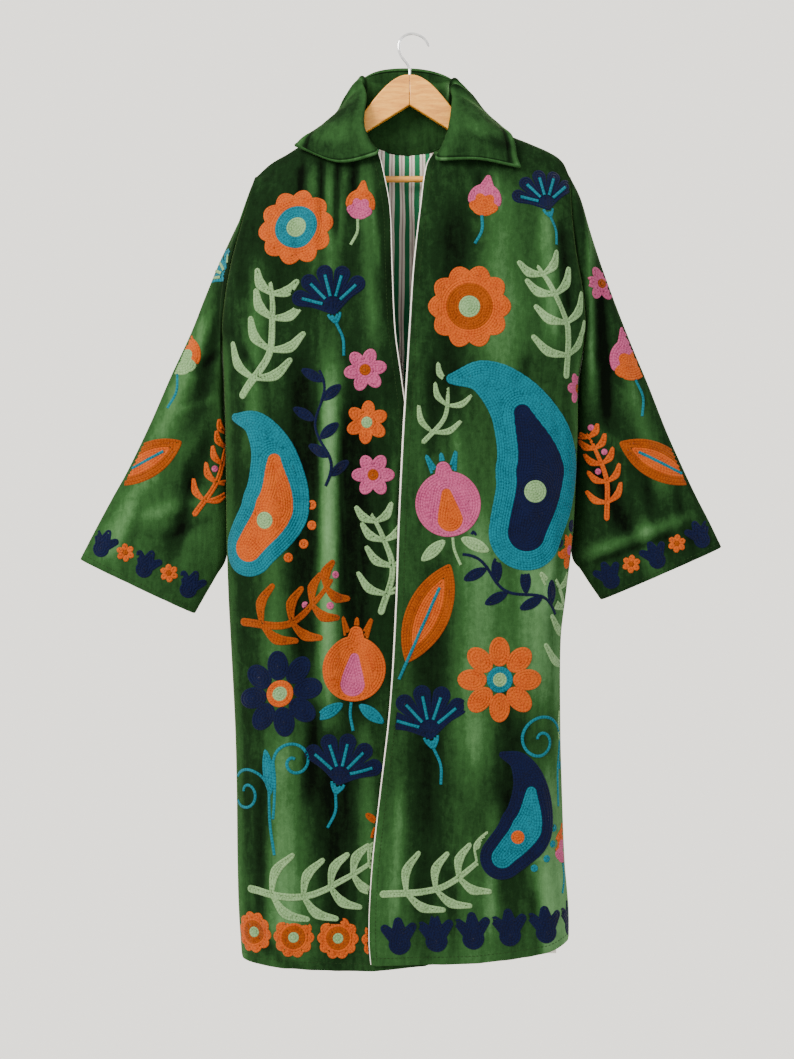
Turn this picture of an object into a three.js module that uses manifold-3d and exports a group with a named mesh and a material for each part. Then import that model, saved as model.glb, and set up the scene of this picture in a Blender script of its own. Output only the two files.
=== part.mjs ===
// A long velvet coat, open at the front, hanging on a wooden hanger.
// Millimetres, +Z up, front towards -Y. The origin is the inside of the hook's bend, where it hangs.
// Left and right in names are the wearer's, so the left front is at +X.
import * as THREE from "three";
import { mergeVertices } from "three/addons/utils/BufferGeometryUtils.js";
import Module from "manifold-3d";

const wasm = await Module();
wasm.setup();

// ---------------------------------------------------------------- driving dimensions
const NECK_X = -5; // the hook's neck stands this far beside the point it hangs from
const WALL = 3; // velvet with its cotton lining
const COLLAR_WALL = 4; // two layers of velvet
const LINING_WALL = 1;
const SEAM = 0.3; // gap between two sewn pieces
const ARMHOLE_GAP = 0.8; // gap between a sleeve and the body, across a curved seam

const SHOULDER_TIP_Z = -188;
const UNDERARM_Z = -400;
const HEM_Z = -1220;
const NECK_POINT_Z = -104; // where the shoulder seams meet the collar
const NECK_POINT = { right: -75, left: 74 };
const FRONT_CORNER = { right: { x: -44, z: -158 }, left: { x: 35, z: -164 } };
const BACK_NECK_DROP = 52; // the back neckline dips this far below the neck points

const ROUND = 2.3; // power of the rounded sections
const FRONT_SIDE_ROUND = 75; // the front turns back to the side seam over this width
const BACK_SIDE_ROUND = 45;
const FRONT_SHOULDER_DROP = 140; // the front reaches its full depth this far below the shoulder
const BACK_SHOULDER_DROP = 40;
const ARMHOLE_FRONT = 24; // half depth of the armhole, in front of the seams and behind them
const ARMHOLE_BACK = 18;
const LAP_DEPTH = 5.5; // the right front lies this far behind the left one
const LAP_START = 40;
const LAP_END = 10;

const PIPING_RADIUS = 1.5;
const PIPING_GAP = 1.3;
const BAR_RADIUS = 4.2;
const BAR_HALF = 185;
const BAR_Z = -191;
const WOOD_THICKNESS = 11;
const WOOD_BEVEL = 2;
const HOOK_RADIUS = 1.75;
const HOOK_ROOT_Z = -74;

// ---------------------------------------------------------------- tables
function table(names, rows) {
  return rows.map((row) => Object.fromEntries(names.map((name, i) => [name, row[i]])));
}

// Side seams and armhole seams, by height.
const SIDES = table(["z", "right", "left"], [
  [-188, -203, 212],
  [-225, -213, 212.5],
  [-262, -223, 215],
  [-300, -233, 220],
  [-347, -242, 228.5],
  [-400, -248, 232],
  [-456, -246, 224],
  [-523, -244, 223],
  [-600, -243, 220],
  [-662, -242.5, 216.5],
  [-743, -240, 207],
  [-800, -237, 200.5],
  [-918, -231, 200],
  [-1000, -229, 202],
  [-1093, -228, 205.5],
  [-1163, -226, 211],
  [-1240, -220.5, 210],
]);

// Free edges of the two fronts, by height.
const FRONT_EDGES = table(["z", "right", "left"], [
  [-158, -44, 35],
  [-180, -38, 24],
  [-236, -28, 16],
  [-313, -25, 7.5],
  [-397, -21, 2],
  [-457, -13, -1.5],
  [-530, -4, -6],
  [-654, 4, -12],
  [-746, 8, -15],
  [-882, 13, -23],
  [-1004, 18, -37],
  [-1095, 21, -47],
  [-1187, 24, -51],
  [-1250, 25, -45],
]);

// Shoulder seams over the hanger's arms, carried on over the neck.
const SHOULDER = table(["x", "z"], [
  [-203, -188],
  [-184, -171],
  [-162, -158],
  [-107, -122.5],
  [-75, -104],
  [0, -61],
  [74, -104],
  [132, -133],
  [158, -143.5],
  [189, -157.5],
  [204, -170],
  [212, -188],
]);

// How far the front and the back stand from the plane of the hanger, by height.
const DEPTHS = table(["z", "front", "back"], [
  [-60, 30, 17],
  [-200, 40, 21],
  [-330, 51, 24],
  [-600, 50, 24],
  [-900, 46, 24],
  [-1250, 50, 25],
]);

const HEMS = {
  right: table(["x", "z"], [[-222, -1217], [-160, -1223], [-83, -1227], [-50, -1228], [25, -1221]]),
  left: table(["x", "z"], [[-46, -1220], [8, -1219], [79, -1217], [129, -1212], [180, -1204], [210, -1193]]),
  back: table(["x", "z"], [[-222, -1218], [-90, -1229], [0, -1233], [110, -1218], [210, -1193]]),
};

// Soft folds: a ridge (or, with a negative rise, a trough) along the line from its head to its foot.
const FOLD_COLUMNS = ["headX", "headZ", "footX", "footZ", "width", "rise"];
const FRONT_FOLDS = table(FOLD_COLUMNS, [
  [-128, -172, -124, -330, 9, 3.5],
  [-104, -176, -103, -360, 9, 5],
  [-84, -176, -92, -300, 7, 3],
  [-60, -176, -45, -420, 10, 4],
  [-103, -420, -105, -900, 17, 9],
  [-140, -440, -138, -850, 16, -5],
  [-68, -470, -74, -900, 18, -5],
  [-178, -560, -172, -900, 20, 4],
  [-165, -900, -160, -1235, 24, 6],
  [-100, -930, -88, -1240, 24, -4],
  [-214, -1168, -140, -1232, 12, -4],
  [62, -230, 48, -520, 20, -3],
  [118, -200, 122, -470, 30, 4],
  [178, -230, 186, -420, 14, 5],
  [160, -560, 168, -900, 26, 5],
  [96, -620, 84, -1000, 30, 4],
  [30, -700, 18, -1235, 24, -4],
  [126, -860, 140, -1230, 26, -4],
  [178, -960, 186, -1222, 20, 5],
]);
const BACK_FOLDS = table(FOLD_COLUMNS, [
  [-158, -260, -150, -1236, 26, 6],
  [-96, -320, -110, -1240, 24, -4],
  [-48, -240, -34, -1240, 28, 7],
  [22, -330, 12, -1240, 22, -4],
  [74, -250, 92, -1230, 28, 7],
  [128, -420, 140, -1226, 20, -4],
  [176, -300, 168, -900, 20, 5],
]);

// Sleeves, from the armhole to the cuff. Each ring runs from the sleeve's outer edge to its inner
// edge; bow swells it away from the body, y moves it back beside the body's side.
const SLEEVE_COLUMNS = ["outerX", "outerZ", "innerX", "innerZ", "bow", "y", "front", "back"];
const SLEEVES = {
  right: table(SLEEVE_COLUMNS, [
    [-203, -188, -248, -400, -8, 0, 24, 18],
    [-216, -226, -249, -425, -12, 3, 24, 18],
    [-235, -264, -247, -455, -10, 8, 24, 17],
    [-254, -303, -245, -490, -7, 12, 24, 16],
    [-272, -346, -243.5, -525, -3, 13, 24, 16],
    [-291, -394, -242.5, -560, -2, 13, 23, 15],
    [-318, -452, -242, -605, 0, 13, 23, 15],
    [-345, -514, -241.5, -650, 0, 13, 22, 15],
    [-374, -575, -243.5, -692, 0, 11, 22, 15],
    [-394, -612, -257, -717, 0, 8, 21, 15],
    [-414, -650, -270, -740, 0, 5, 20, 15],
    [-436, -693, -284, -765, 0, 3, 19, 15],
  ]),
  left: table(SLEEVE_COLUMNS, [
    [212, -188, 232, -400, 6, 0, 24, 18],
    [226, -215, 231, -425, 8, 3, 24, 18],
    [239, -256, 226, -455, 7, 8, 25, 17],
    [255, -303, 222.5, -490, 5, 12, 26, 16],
    [276, -360, 222, -525, 3, 13, 26, 16],
    [297, -413, 220.5, -565, 2, 13, 25, 15],
    [318, -463, 219, -605, 0, 13, 24, 15],
    [342, -524, 216.5, -645, 0, 13, 23, 15],
    [364, -574, 216, -690, 0, 11, 22, 15],
    [381, -611, 228, -709, 0, 8, 21, 15],
    [398, -645, 240, -728, 0, 5, 20, 15],
    [413, -677, 253, -747, 0, 3, 19, 15],
  ]),
};
const SLEEVE_FOLDS = {
  right: table(FOLD_COLUMNS, [
    [-226, -262, -286, -520, 12, -4],
    [-258, -360, -344, -560, 14, 4],
    [-262, -520, -318, -700, 13, -4],
    [-330, -560, -408, -700, 16, 4],
    [-270, -610, -352, -640, 12, 3],
  ]),
  left: table(FOLD_COLUMNS, [
    [237, -243, 240, -480, 7, 5],
    [250, -330, 262, -520, 9, -5],
    [282, -440, 340, -610, 14, 4],
    [238, -560, 300, -680, 12, -4],
    [226, -690, 372, -636, 9, 4],
    [300, -640, 330, -724, 14, 3],
  ]),
};

// The collar, from the right front corner round the back of the neck to the left front corner. Each
// row is sewn to one column of a panel's top edge, then passes through stand, fold, fall and edge.
const COLLAR = table(["panel", "column", "stand", "fold", "fall", "edge"], [
  ["right", 12, [-44.5, -38, -155.5], [-47, -41, -153], [-94, -39, -168], [-150, -22, -147]],
  ["right", 11, [-57, -38, -149], [-55, -41, -143], [-100, -38, -151], [-147, -19, -145]],
  ["right", 10, [-68, -31, -131], [-63, -34, -122], [-101, -33, -130], [-138, -13, -138]],
  ["right", 9, [-69, -8, -97], [-59, -13, -88], [-86, -12, -101], [-116, -1, -122]],
  ["back", 8, [-70, 11, -98], [-60, -2, -74], [-76, 1, -80], [-97, 13, -101]],
  ["back", 9, [-62, 17, -100], [-64, 9, -58], [-71, 9, -60], [-81, 15, -74]],
  ["back", 10, [-35, 21, -106], [-43, 22, -64], [-46, 21, -54], [-48, 20, -46]],
  ["back", 11, [0, 21, -108], [0, 24, -66], [0, 25, -52], [0, 25, -39]],
  ["back", 12, [32, 21, -106], [38, 22, -64], [41, 21, -55], [43, 20, -48]],
  ["back", 13, [56, 19, -100], [58, 9, -62], [67, 8, -63], [79, 13, -73]],
  ["back", 14, [69, 11, -98], [57, -3, -76], [74, 0, -79], [99, 12, -98]],
  ["left", 9, [68, -8, -98], [58, -13, -91], [86, -13, -101], [121, -1, -122]],
  ["left", 10, [65, -32, -133], [54, -35, -124], [94, -34, -131], [134, -19, -139]],
  ["left", 11, [52, -39, -153], [48, -42, -146], [96, -40, -148], [139, -28, -158]],
  ["left", 12, [36.5, -39, -161], [40, -42, -157], [90, -41, -158], [144, -33, -171]],
]);

// ---------------------------------------------------------------- number helpers
const mix = THREE.MathUtils.lerp;
const smoothstep = THREE.MathUtils.smoothstep;
const clamp01 = (t) => THREE.MathUtils.clamp(t, 0, 1);
const count = (n) => Array.from({ length: n }, (_, i) => i);

// A smooth curve through a table's rows.
function read(rows, key, column, at) {
  const last = rows.length - 1;
  const rising = rows[last][key] > rows[0][key];
  const before = (a, b) => (rising ? a < b : a > b);
  if (!before(rows[0][key], at)) return rows[0][column];
  if (!before(at, rows[last][key])) return rows[last][column];
  let i = 0;
  while (before(rows[i + 1][key], at)) i += 1;
  const slope = (j) => {
    const a = rows[Math.max(j - 1, 0)];
    const b = rows[Math.min(j + 1, last)];
    return (b[column] - a[column]) / (b[key] - a[key]);
  };
  const span = rows[i + 1][key] - rows[i][key];
  const t = (at - rows[i][key]) / span;
  const ease = t * t * (3 - 2 * t);
  const bend = t * (1 - t) * ((1 - t) * slope(i) - t * slope(i + 1));
  return mix(rows[i][column], rows[i + 1][column], ease) + span * bend;
}

// Rises from 0 to 1 as t does, steeply at first, like the side of a rounded section.
const roundOut = (t, power) => (1 - (1 - clamp01(t)) ** power) ** (1 / power);

function foldHeight(folds, x, z) {
  let height = 0;
  for (const fold of folds) {
    const dx = fold.footX - fold.headX;
    const dz = fold.footZ - fold.headZ;
    const t = ((x - fold.headX) * dx + (z - fold.headZ) * dz) / (dx * dx + dz * dz);
    const off = ((x - fold.headX) * dz - (z - fold.headZ) * dx) / Math.hypot(dx, dz);
    const ends = smoothstep(t, -0.12, 0.2) * (1 - smoothstep(t, 0.8, 1.12));
    height += fold.rise * ends * Math.exp(-((off / fold.width) ** 2));
  }
  return height;
}

// ---------------------------------------------------------------- the body's surfaces
const sideX = (side, z) => read(SIDES, "z", side, z);
const edgeX = (side, z) => read(FRONT_EDGES, "z", side, z);
const shoulderZ = (x) => read(SHOULDER, "x", "z", x);

function armholeDepth(z) {
  const middle = (SHOULDER_TIP_Z + UNDERARM_Z) / 2;
  const half = (SHOULDER_TIP_Z - UNDERARM_Z) / 2;
  return roundOut(1 - Math.abs(z - middle) / half, ROUND);
}

function sectionDepth(x, z, face) {
  const toSide = Math.min(x - sideX("right", z), sideX("left", z) - x);
  const swell = roundOut(toSide / face.sideRound, ROUND);
  const below = roundOut((shoulderZ(x) - z) / face.shoulderDrop, 2);
  const depth = read(DEPTHS, "z", face.name, z) * below + foldHeight(face.folds, x, z) * below;
  return mix(face.armhole * armholeDepth(z), depth, swell);
}

const FRONT = {
  name: "front",
  sideRound: FRONT_SIDE_ROUND,
  shoulderDrop: FRONT_SHOULDER_DROP,
  armhole: ARMHOLE_FRONT,
  folds: FRONT_FOLDS,
};
const BACK = {
  name: "back",
  sideRound: BACK_SIDE_ROUND,
  shoulderDrop: BACK_SHOULDER_DROP,
  armhole: ARMHOLE_BACK,
  folds: BACK_FOLDS,
};

// How far the right front has slipped behind the left one: 0 beside it, 1 under it.
function lap(x, z) {
  const overEdge = edgeX("left", z);
  return smoothstep(x, overEdge - LAP_START, overEdge - LAP_END);
}

const leftFrontY = (x, z) => -sectionDepth(x, z, FRONT);
const rightFrontY = (x, z) => leftFrontY(x, z) + LAP_DEPTH * lap(x, z);
const backY = (x, z) => sectionDepth(x, z, BACK);

// The outward normal of a face y = surface(x, z); outward is -1 in front and 1 behind.
function normalAt(surface, outward, x, z) {
  const step = 0.4;
  const slopeX = (surface(x + step, z) - surface(x - step, z)) / (2 * step);
  const slopeZ = (surface(x, z + step) - surface(x, z - step)) / (2 * step);
  return new THREE.Vector3(-slopeX, 1, -slopeZ).multiplyScalar(outward).normalize();
}

// Front neckline: a quarter ellipse from the neck point down to the front corner.
function frontNeckZ(side, x) {
  const corner = FRONT_CORNER[side];
  const t = clamp01((x - NECK_POINT[side]) / (corner.x - NECK_POINT[side]));
  return mix(NECK_POINT_Z, corner.z, Math.sqrt(1 - (1 - t) ** 2));
}

function backNeckZ(x) {
  const reach = x < 0 ? NECK_POINT.right : NECK_POINT.left;
  return NECK_POINT_Z - BACK_NECK_DROP * Math.sqrt(Math.max(0, 1 - (x / reach) ** 2));
}

// ---------------------------------------------------------------- meshes from grids
// A closed wall between two grids of points, rows by columns; a tube's columns join round.
function wallGeometry(outer, inner, isTube) {
  const rows = outer.length;
  const columns = outer[0].length;
  const points = [...outer.flat(), ...inner.flat()];
  const index = [];
  const at = (face, r, c) => face * rows * columns + r * columns + (c % columns);
  const quad = (a, b, c, d) => index.push(a, b, c, a, c, d);
  const spans = isTube ? columns : columns - 1;
  for (let r = 0; r < rows - 1; r += 1) {
    for (let c = 0; c < spans; c += 1) {
      quad(at(0, r, c), at(0, r + 1, c), at(0, r + 1, c + 1), at(0, r, c + 1));
      quad(at(1, r, c), at(1, r, c + 1), at(1, r + 1, c + 1), at(1, r + 1, c));
    }
  }
  for (let c = 0; c < spans; c += 1) {
    quad(at(0, 0, c), at(0, 0, c + 1), at(1, 0, c + 1), at(1, 0, c));
    quad(at(0, rows - 1, c), at(1, rows - 1, c), at(1, rows - 1, c + 1), at(0, rows - 1, c + 1));
  }
  if (!isTube) {
    for (let r = 0; r < rows - 1; r += 1) {
      const end = columns - 1;
      quad(at(0, r, 0), at(1, r, 0), at(1, r + 1, 0), at(0, r + 1, 0));
      quad(at(0, r, end), at(0, r + 1, end), at(1, r + 1, end), at(1, r, end));
    }
  }
  const geometry = new THREE.BufferGeometry().setFromPoints(points);
  geometry.setIndex(index);
  geometry.computeVertexNormals();
  return geometry;
}

// A sewn panel. Its columns run from top to hem; clearOfSeam keeps both faces on their own side of
// the plane of the side and shoulder seams.
function panelGrids(panel) {
  const outer = [];
  const inner = [];
  for (const down of panel.rows) {
    const outerRow = [];
    const innerRow = [];
    for (const across of panel.columns) {
      const z = mix(panel.topZ(across), panel.hemZ(across), down);
      const x = panel.xAt(across, z);
      const y = panel.surface(x, z);
      const normal = normalAt(panel.surface, panel.outward, x, z);
      const point = new THREE.Vector3(x, y, z);
      const near = point.clone().addScaledVector(normal, -panel.inset);
      const far = point.clone().addScaledVector(normal, -panel.inset - panel.wall);
      outerRow.push(clearOfSeam(near, panel.outward));
      innerRow.push(clearOfSeam(far, panel.outward));
    }
    outer.push(outerRow);
    inner.push(innerRow);
  }
  return { outer, inner };
}

function clearOfSeam(point, outward) {
  point.y = outward * Math.max(outward * point.y, SEAM / 2);
  return point;
}

function panelGeometry(panel) {
  const { outer, inner } = panelGrids(panel);
  const mirrored = panel.flip ? [inner, outer] : [outer, inner];
  return wallGeometry(mirrored[0], mirrored[1], false);
}

// Fractions from 0 to 1, closer together at the start (power over 1) or at the end (below 1).
const spread = (n, power) => count(n + 1).map((i) => (i / n) ** power);

const SHOULDER_COLUMNS = 9;

// Column positions that pass exactly through the neck points.
function frontColumns(side) {
  const top = sideX(side, SHOULDER_TIP_Z);
  const neck = (NECK_POINT[side] - top) / (FRONT_CORNER[side].x - top);
  const shoulder = spread(SHOULDER_COLUMNS, 1.25).map((t) => t * neck);
  const neckline = spread(3, 1.6).slice(1).map((t) => mix(neck, 1, t));
  return [...shoulder, ...neckline];
}

function backColumns() {
  const start = sideX("right", SHOULDER_TIP_Z);
  const width = sideX("left", SHOULDER_TIP_Z) - start;
  const first = (NECK_POINT.right - start) / width;
  const second = (NECK_POINT.left - start) / width;
  const rightShoulder = spread(7, 1.25).map((t) => t * first);
  const neck = count(9).slice(1).map((i) => mix(first, second, (1 - Math.cos((Math.PI * i) / 8)) / 2));
  const leftShoulder = spread(7, 1.25).map((t) => 1 - t * (1 - second)).reverse().slice(1);
  return [...rightShoulder, ...neck, ...leftShoulder];
}

const PANEL_ROWS = spread(31, 1.5);

function frontPanel(side) {
  const topX = (across) => mix(sideX(side, SHOULDER_TIP_Z), FRONT_CORNER[side].x, across);
  const onShoulder = (x) => Math.abs(x) >= Math.abs(NECK_POINT[side]);
  const xAt = (across, z) => mix(sideX(side, z), edgeX(side, z), across);
  return {
    columns: frontColumns(side),
    rows: PANEL_ROWS,
    surface: side === "left" ? leftFrontY : rightFrontY,
    outward: -1,
    flip: side === "left",
    inset: 0,
    wall: WALL,
    xAt,
    topZ: (across) => {
      const x = topX(across);
      return onShoulder(x) ? shoulderZ(x) : frontNeckZ(side, x);
    },
    hemZ: (across) => read(HEMS[side], "x", "z", xAt(across, HEM_Z)),
  };
}

function backTopZ(x) {
  const inNeck = x > NECK_POINT.right && x < NECK_POINT.left;
  return inNeck ? backNeckZ(x) : shoulderZ(x);
}

function backPanel() {
  const xAt = (across, z) => mix(sideX("right", z), sideX("left", z), across);
  return {
    columns: backColumns(),
    rows: PANEL_ROWS,
    surface: backY,
    outward: 1,
    flip: true,
    inset: 0,
    wall: WALL,
    xAt,
    topZ: (across) => backTopZ(xAt(across, SHOULDER_TIP_Z)),
    hemZ: (across) => read(HEMS.back, "x", "z", xAt(across, HEM_Z)),
  };
}

// The striped lining where it shows inside the back, on the columns between the neck points.
const LINING_COLUMNS = [8, 14];
function liningPanel() {
  const back = backPanel();
  return {
    ...back,
    columns: back.columns.slice(LINING_COLUMNS[0], LINING_COLUMNS[1] + 1),
    rows: back.rows.slice(0, -1),
    inset: WALL + SEAM,
    wall: LINING_WALL,
  };
}

// ---------------------------------------------------------------- sleeves
const SLEEVE_SIDES = 22;
const SLEEVE_RINGS = 18;

function sleevePoint(side, t, turn) {
  const rows = SLEEVES[side].map((row, i) => ({ ...row, at: i / (SLEEVES[side].length - 1) }));
  const value = (column) => read(rows, "at", column, t);
  const angle = turn * 2 * Math.PI;
  const signedPower = (v) => Math.sign(v) * Math.abs(v) ** (2 / ROUND);
  const chord = (1 - signedPower(Math.cos(angle))) / 2;
  const deep = signedPower(Math.sin(angle));
  const z = mix(value("outerZ"), value("innerZ"), chord);
  const outward = side === "left" ? 1 : -1;
  const chordX = mix(value("outerX"), value("innerX"), chord) + value("bow") * 4 * chord * (1 - chord);
  const x = t === 0 ? sideX(side, z) + outward * ARMHOLE_GAP : chordX;
  const fold = foldHeight(SLEEVE_FOLDS[side], x, z) * smoothstep(t, 0, 0.15) * deep * deep;
  const depth = deep > 0 ? value("front") * deep + fold : value("back") * deep - fold / 2;
  return new THREE.Vector3(x, value("y") - depth, z);
}

function sleeveNormal(side, t, turn) {
  const step = 0.004;
  const around = sleevePoint(side, t, turn + step).sub(sleevePoint(side, t, turn - step));
  const down = sleevePoint(side, Math.min(t + step, 1), turn).sub(sleevePoint(side, Math.max(t - step, 0), turn));
  const normal = around.cross(down).multiplyScalar(side === "left" ? 1 : -1);
  if (t === 0) normal.x = 0;
  return normal.normalize();
}

function sleeveGeometry(side) {
  const rings = spread(SLEEVE_RINGS, 1.1);
  const turns = count(SLEEVE_SIDES).map((i) => i / SLEEVE_SIDES);
  const outer = rings.map((t) => turns.map((turn) => sleevePoint(side, t, turn)));
  const inner = rings.map((t) =>
    turns.map((turn) => sleevePoint(side, t, turn).addScaledVector(sleeveNormal(side, t, turn), -WALL)),
  );
  return side === "left" ? wallGeometry(inner, outer, true) : wallGeometry(outer, inner, true);
}

// ---------------------------------------------------------------- collar
// Where the collar is sewn on: a point of a panel's top edge, in the middle of its wall, moved
// clear of it along the cloth.
function neckSeam(row, grids) {
  const { outer, inner } = grids[row.panel];
  const face = outer[0][row.column];
  const lining = inner[0][row.column];
  const onShoulder = row.panel !== "back" && row.column === SHOULDER_COLUMNS;
  const normal = face.clone().sub(lining);
  const point = face.clone().add(lining).multiplyScalar(0.5);
  if (onShoulder) {
    point.y = 0;
    normal.y = 0;
  }
  normal.normalize();
  const centre = new THREE.Vector3(0, point.y, NECK_POINT_Z + 60);
  const away = centre.sub(point).projectOnPlane(normal).normalize();
  return { point: point.addScaledVector(away, 2 * SEAM), normal };
}

const STATIONS_PER_ROW = 3;
const COLLAR_ACROSS = [0, 0.1, 0.25, 0.38, 0.46, 0.54, 0.64, 0.82, 1];

// A path through points at equal steps of t, with straight stretches.
function straightPath(points) {
  const spans = points.length - 1;
  return {
    getPoint: (t) => {
      const i = Math.min(Math.floor(t * spans), spans - 1);
      return points[i].clone().lerp(points[i + 1], t * spans - i);
    },
  };
}

function collarGeometry() {
  const grids = {
    left: panelGrids(frontPanel("left")),
    right: panelGrids(frontPanel("right")),
    back: panelGrids(backPanel()),
  };
  const seams = COLLAR.map((row) => neckSeam(row, grids));
  const seamLine = straightPath(seams.map((s) => s.point));
  const seamNormal = straightPath(seams.map((s) => s.normal));
  const curve = (points) => new THREE.CatmullRomCurve3(points, false, "catmullrom", 0.5);
  const line = (column) => curve(COLLAR.map((row) => new THREE.Vector3(...row[column])));
  const lines = [seamLine, ...["stand", "fold", "fall", "edge"].map(line)];
  const point = (t, v) => curve(lines.map((path) => path.getPoint(t))).getPoint(v);
  const normal = (t, v) => {
    if (v === 0) return seamNormal.getPoint(t).normalize();
    const step = 0.01;
    const along = point(Math.min(t + step, 1), v).sub(point(Math.max(t - step, 0), v));
    const across = point(t, Math.min(v + step, 1)).sub(point(t, v - step));
    return along.cross(across).multiplyScalar(-1).normalize();
  };
  const stations = spread(STATIONS_PER_ROW * (COLLAR.length - 1), 1);
  const offset = (by) =>
    stations.map((t) => COLLAR_ACROSS.map((v) => point(t, v).addScaledVector(normal(t, v), by)));
  return wallGeometry(offset(-COLLAR_WALL / 2), offset(COLLAR_WALL / 2), false);
}

// ---------------------------------------------------------------- trims
function tubeGeometry(points, radius, sides, steps) {
  const section = new THREE.Shape();
  section.setFromPoints(count(sides).map((i) => {
    const angle = (2 * Math.PI * i) / sides;
    return new THREE.Vector2(radius * Math.cos(angle), radius * Math.sin(angle));
  }));
  const path = new THREE.CatmullRomCurve3(points);
  return new THREE.ExtrudeGeometry(section, { steps, extrudePath: path, bevelEnabled: false });
}

// White piping along a front's free edge, a point beside each of the panel's rows.
function pipingGeometry(side) {
  const panel = frontPanel(side);
  const outward = side === "left" ? -1 : 1;
  const points = panel.rows.slice(1, -1).map((down) => {
    const z = mix(panel.topZ(1), panel.hemZ(1), down);
    const x = edgeX(side, z);
    const middle = panel.surface(x, z) + WALL / 2;
    return new THREE.Vector3(x + outward * (PIPING_RADIUS + PIPING_GAP), middle, z);
  });
  return tubeGeometry(points, PIPING_RADIUS, 6, 40);
}

const LABEL = { x: 185, width: 13, height: 14, below: 6, thickness: 0.8, inside: 9 };
function labelGeometry() {
  const hem = read(HEMS.left, "x", "z", LABEL.x);
  const y = leftFrontY(LABEL.x, hem + 10) + WALL + LABEL.inside;
  const box = new THREE.BoxGeometry(LABEL.width, LABEL.thickness, LABEL.height);
  return box.translate(LABEL.x, y, hem - LABEL.below + LABEL.height / 2);
}

// ---------------------------------------------------------------- hanger
function solidOf(geometry) {
  const bare = geometry.clone();
  bare.deleteAttribute("normal");
  bare.deleteAttribute("uv");
  const merged = mergeVertices(bare, 1e-3);
  return new wasm.Manifold(new wasm.Mesh({
    numProp: 3,
    vertProperties: merged.attributes.position.array,
    triVerts: new Uint32Array(merged.index.array),
  }));
}

function geometryOf(solid) {
  const mesh = solid.getMesh();
  const geometry = new THREE.BufferGeometry();
  geometry.setAttribute("position", new THREE.BufferAttribute(mesh.vertProperties, 3));
  geometry.setIndex(new THREE.BufferAttribute(mesh.triVerts, 1));
  return geometry;
}

const WOOD_TOP = table(["x", "z"], [
  [0, -53],
  [12, -55.5],
  [26, -64],
  [41, -79],
  [58, -99.5],
  [66, -111],
  [76, -119],
  [107, -137],
  [150, -164],
  [185, -186],
]);
const WOOD_TIP = table(["x", "z"], [[197, -193], [200, -200], [193, -205]]);
const WOOD_UNDER = table(["x", "z"], [[185, -203], [120, -166], [62, -132], [0, -93]]);

function hangerOutline() {
  const half = [...WOOD_TOP, ...WOOD_TIP, ...WOOD_UNDER];
  const right = half.map((row) => new THREE.Vector2(row.x, row.z));
  const left = half.slice(1, -1).reverse().map((row) => new THREE.Vector2(-row.x, row.z));
  return new THREE.Shape([...right, ...left].reverse());
}

const barGeometry = (radius, half) =>
  new THREE.CylinderGeometry(radius, radius, 2 * half, 16).rotateZ(Math.PI / 2).translate(0, 0, BAR_Z);

function hangerWoodGeometry() {
  const flat = new THREE.ExtrudeGeometry(hangerOutline(), {
    depth: WOOD_THICKNESS - 2 * WOOD_BEVEL,
    bevelSize: WOOD_BEVEL,
    bevelThickness: WOOD_BEVEL,
    bevelOffset: -WOOD_BEVEL,
    bevelSegments: 2,
  });
  flat.rotateX(Math.PI / 2).translate(0, WOOD_THICKNESS / 2 - WOOD_BEVEL, 0);
  const socketDepth = 30;
  const hookSocket = new THREE.CylinderGeometry(HOOK_RADIUS + SEAM, HOOK_RADIUS + SEAM, socketDepth, 12)
    .rotateX(Math.PI / 2)
    .translate(0, 0, HOOK_ROOT_Z - SEAM + socketDepth / 2);
  const barSocket = barGeometry(BAR_RADIUS + SEAM, BAR_HALF + SEAM);
  return geometryOf(solidOf(flat).subtract(solidOf(barSocket)).subtract(solidOf(hookSocket)));
}

const HOOK_LINE = table(["x", "z"], [
  [0, HOOK_ROOT_Z],
  [0, -58],
  [0, -46],
  [-3, -38],
  [-11.5, -27],
  [-14.5, -16],
  [-12.5, -7],
  [-5, 0],
  [5, HOOK_RADIUS],
  [15, -1.5],
  [21.5, -7],
  [25.5, -14],
]);
const hookGeometry = () =>
  tubeGeometry(HOOK_LINE.map((row) => new THREE.Vector3(row.x, 0, row.z)), HOOK_RADIUS, 8, 44);

// ---------------------------------------------------------------- the object
const velvet = () => new THREE.MeshStandardMaterial({ color: "#2c5a20", roughness: 0.95 });
const striped = () => new THREE.MeshStandardMaterial({ color: "#d9d4cf", roughness: 0.9 });
const white = () => new THREE.MeshStandardMaterial({ color: "#efece4", roughness: 0.9 });
const beech = () => new THREE.MeshStandardMaterial({ color: "#dcb075", roughness: 0.5 });
const chrome = () => new THREE.MeshStandardMaterial({ color: "#c9cccf", roughness: 0.2, metalness: 1 });

const PIECES = [
  ["back", panelGeometry(backPanel()), velvet],
  ["left_front", panelGeometry(frontPanel("left")), velvet],
  ["right_front", panelGeometry(frontPanel("right")), velvet],
  ["left_sleeve", sleeveGeometry("left"), velvet],
  ["right_sleeve", sleeveGeometry("right"), velvet],
  ["collar", collarGeometry(), velvet],
  ["back_lining", panelGeometry(liningPanel()), striped],
  ["left_front_piping", pipingGeometry("left"), white],
  ["right_front_piping", pipingGeometry("right"), white],
  ["label_tab", labelGeometry(), white],
  ["hanger_wood", hangerWoodGeometry(), beech],
  ["hanger_bar", barGeometry(BAR_RADIUS, BAR_HALF), beech],
  ["hanger_hook", hookGeometry(), chrome],
];

const coat = new THREE.Group();
coat.position.x = NECK_X;
for (const [name, geometry, material] of PIECES) {
  const mesh = new THREE.Mesh(geometry, material());
  mesh.name = name;
  coat.add(mesh);
}
export default coat;
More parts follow.
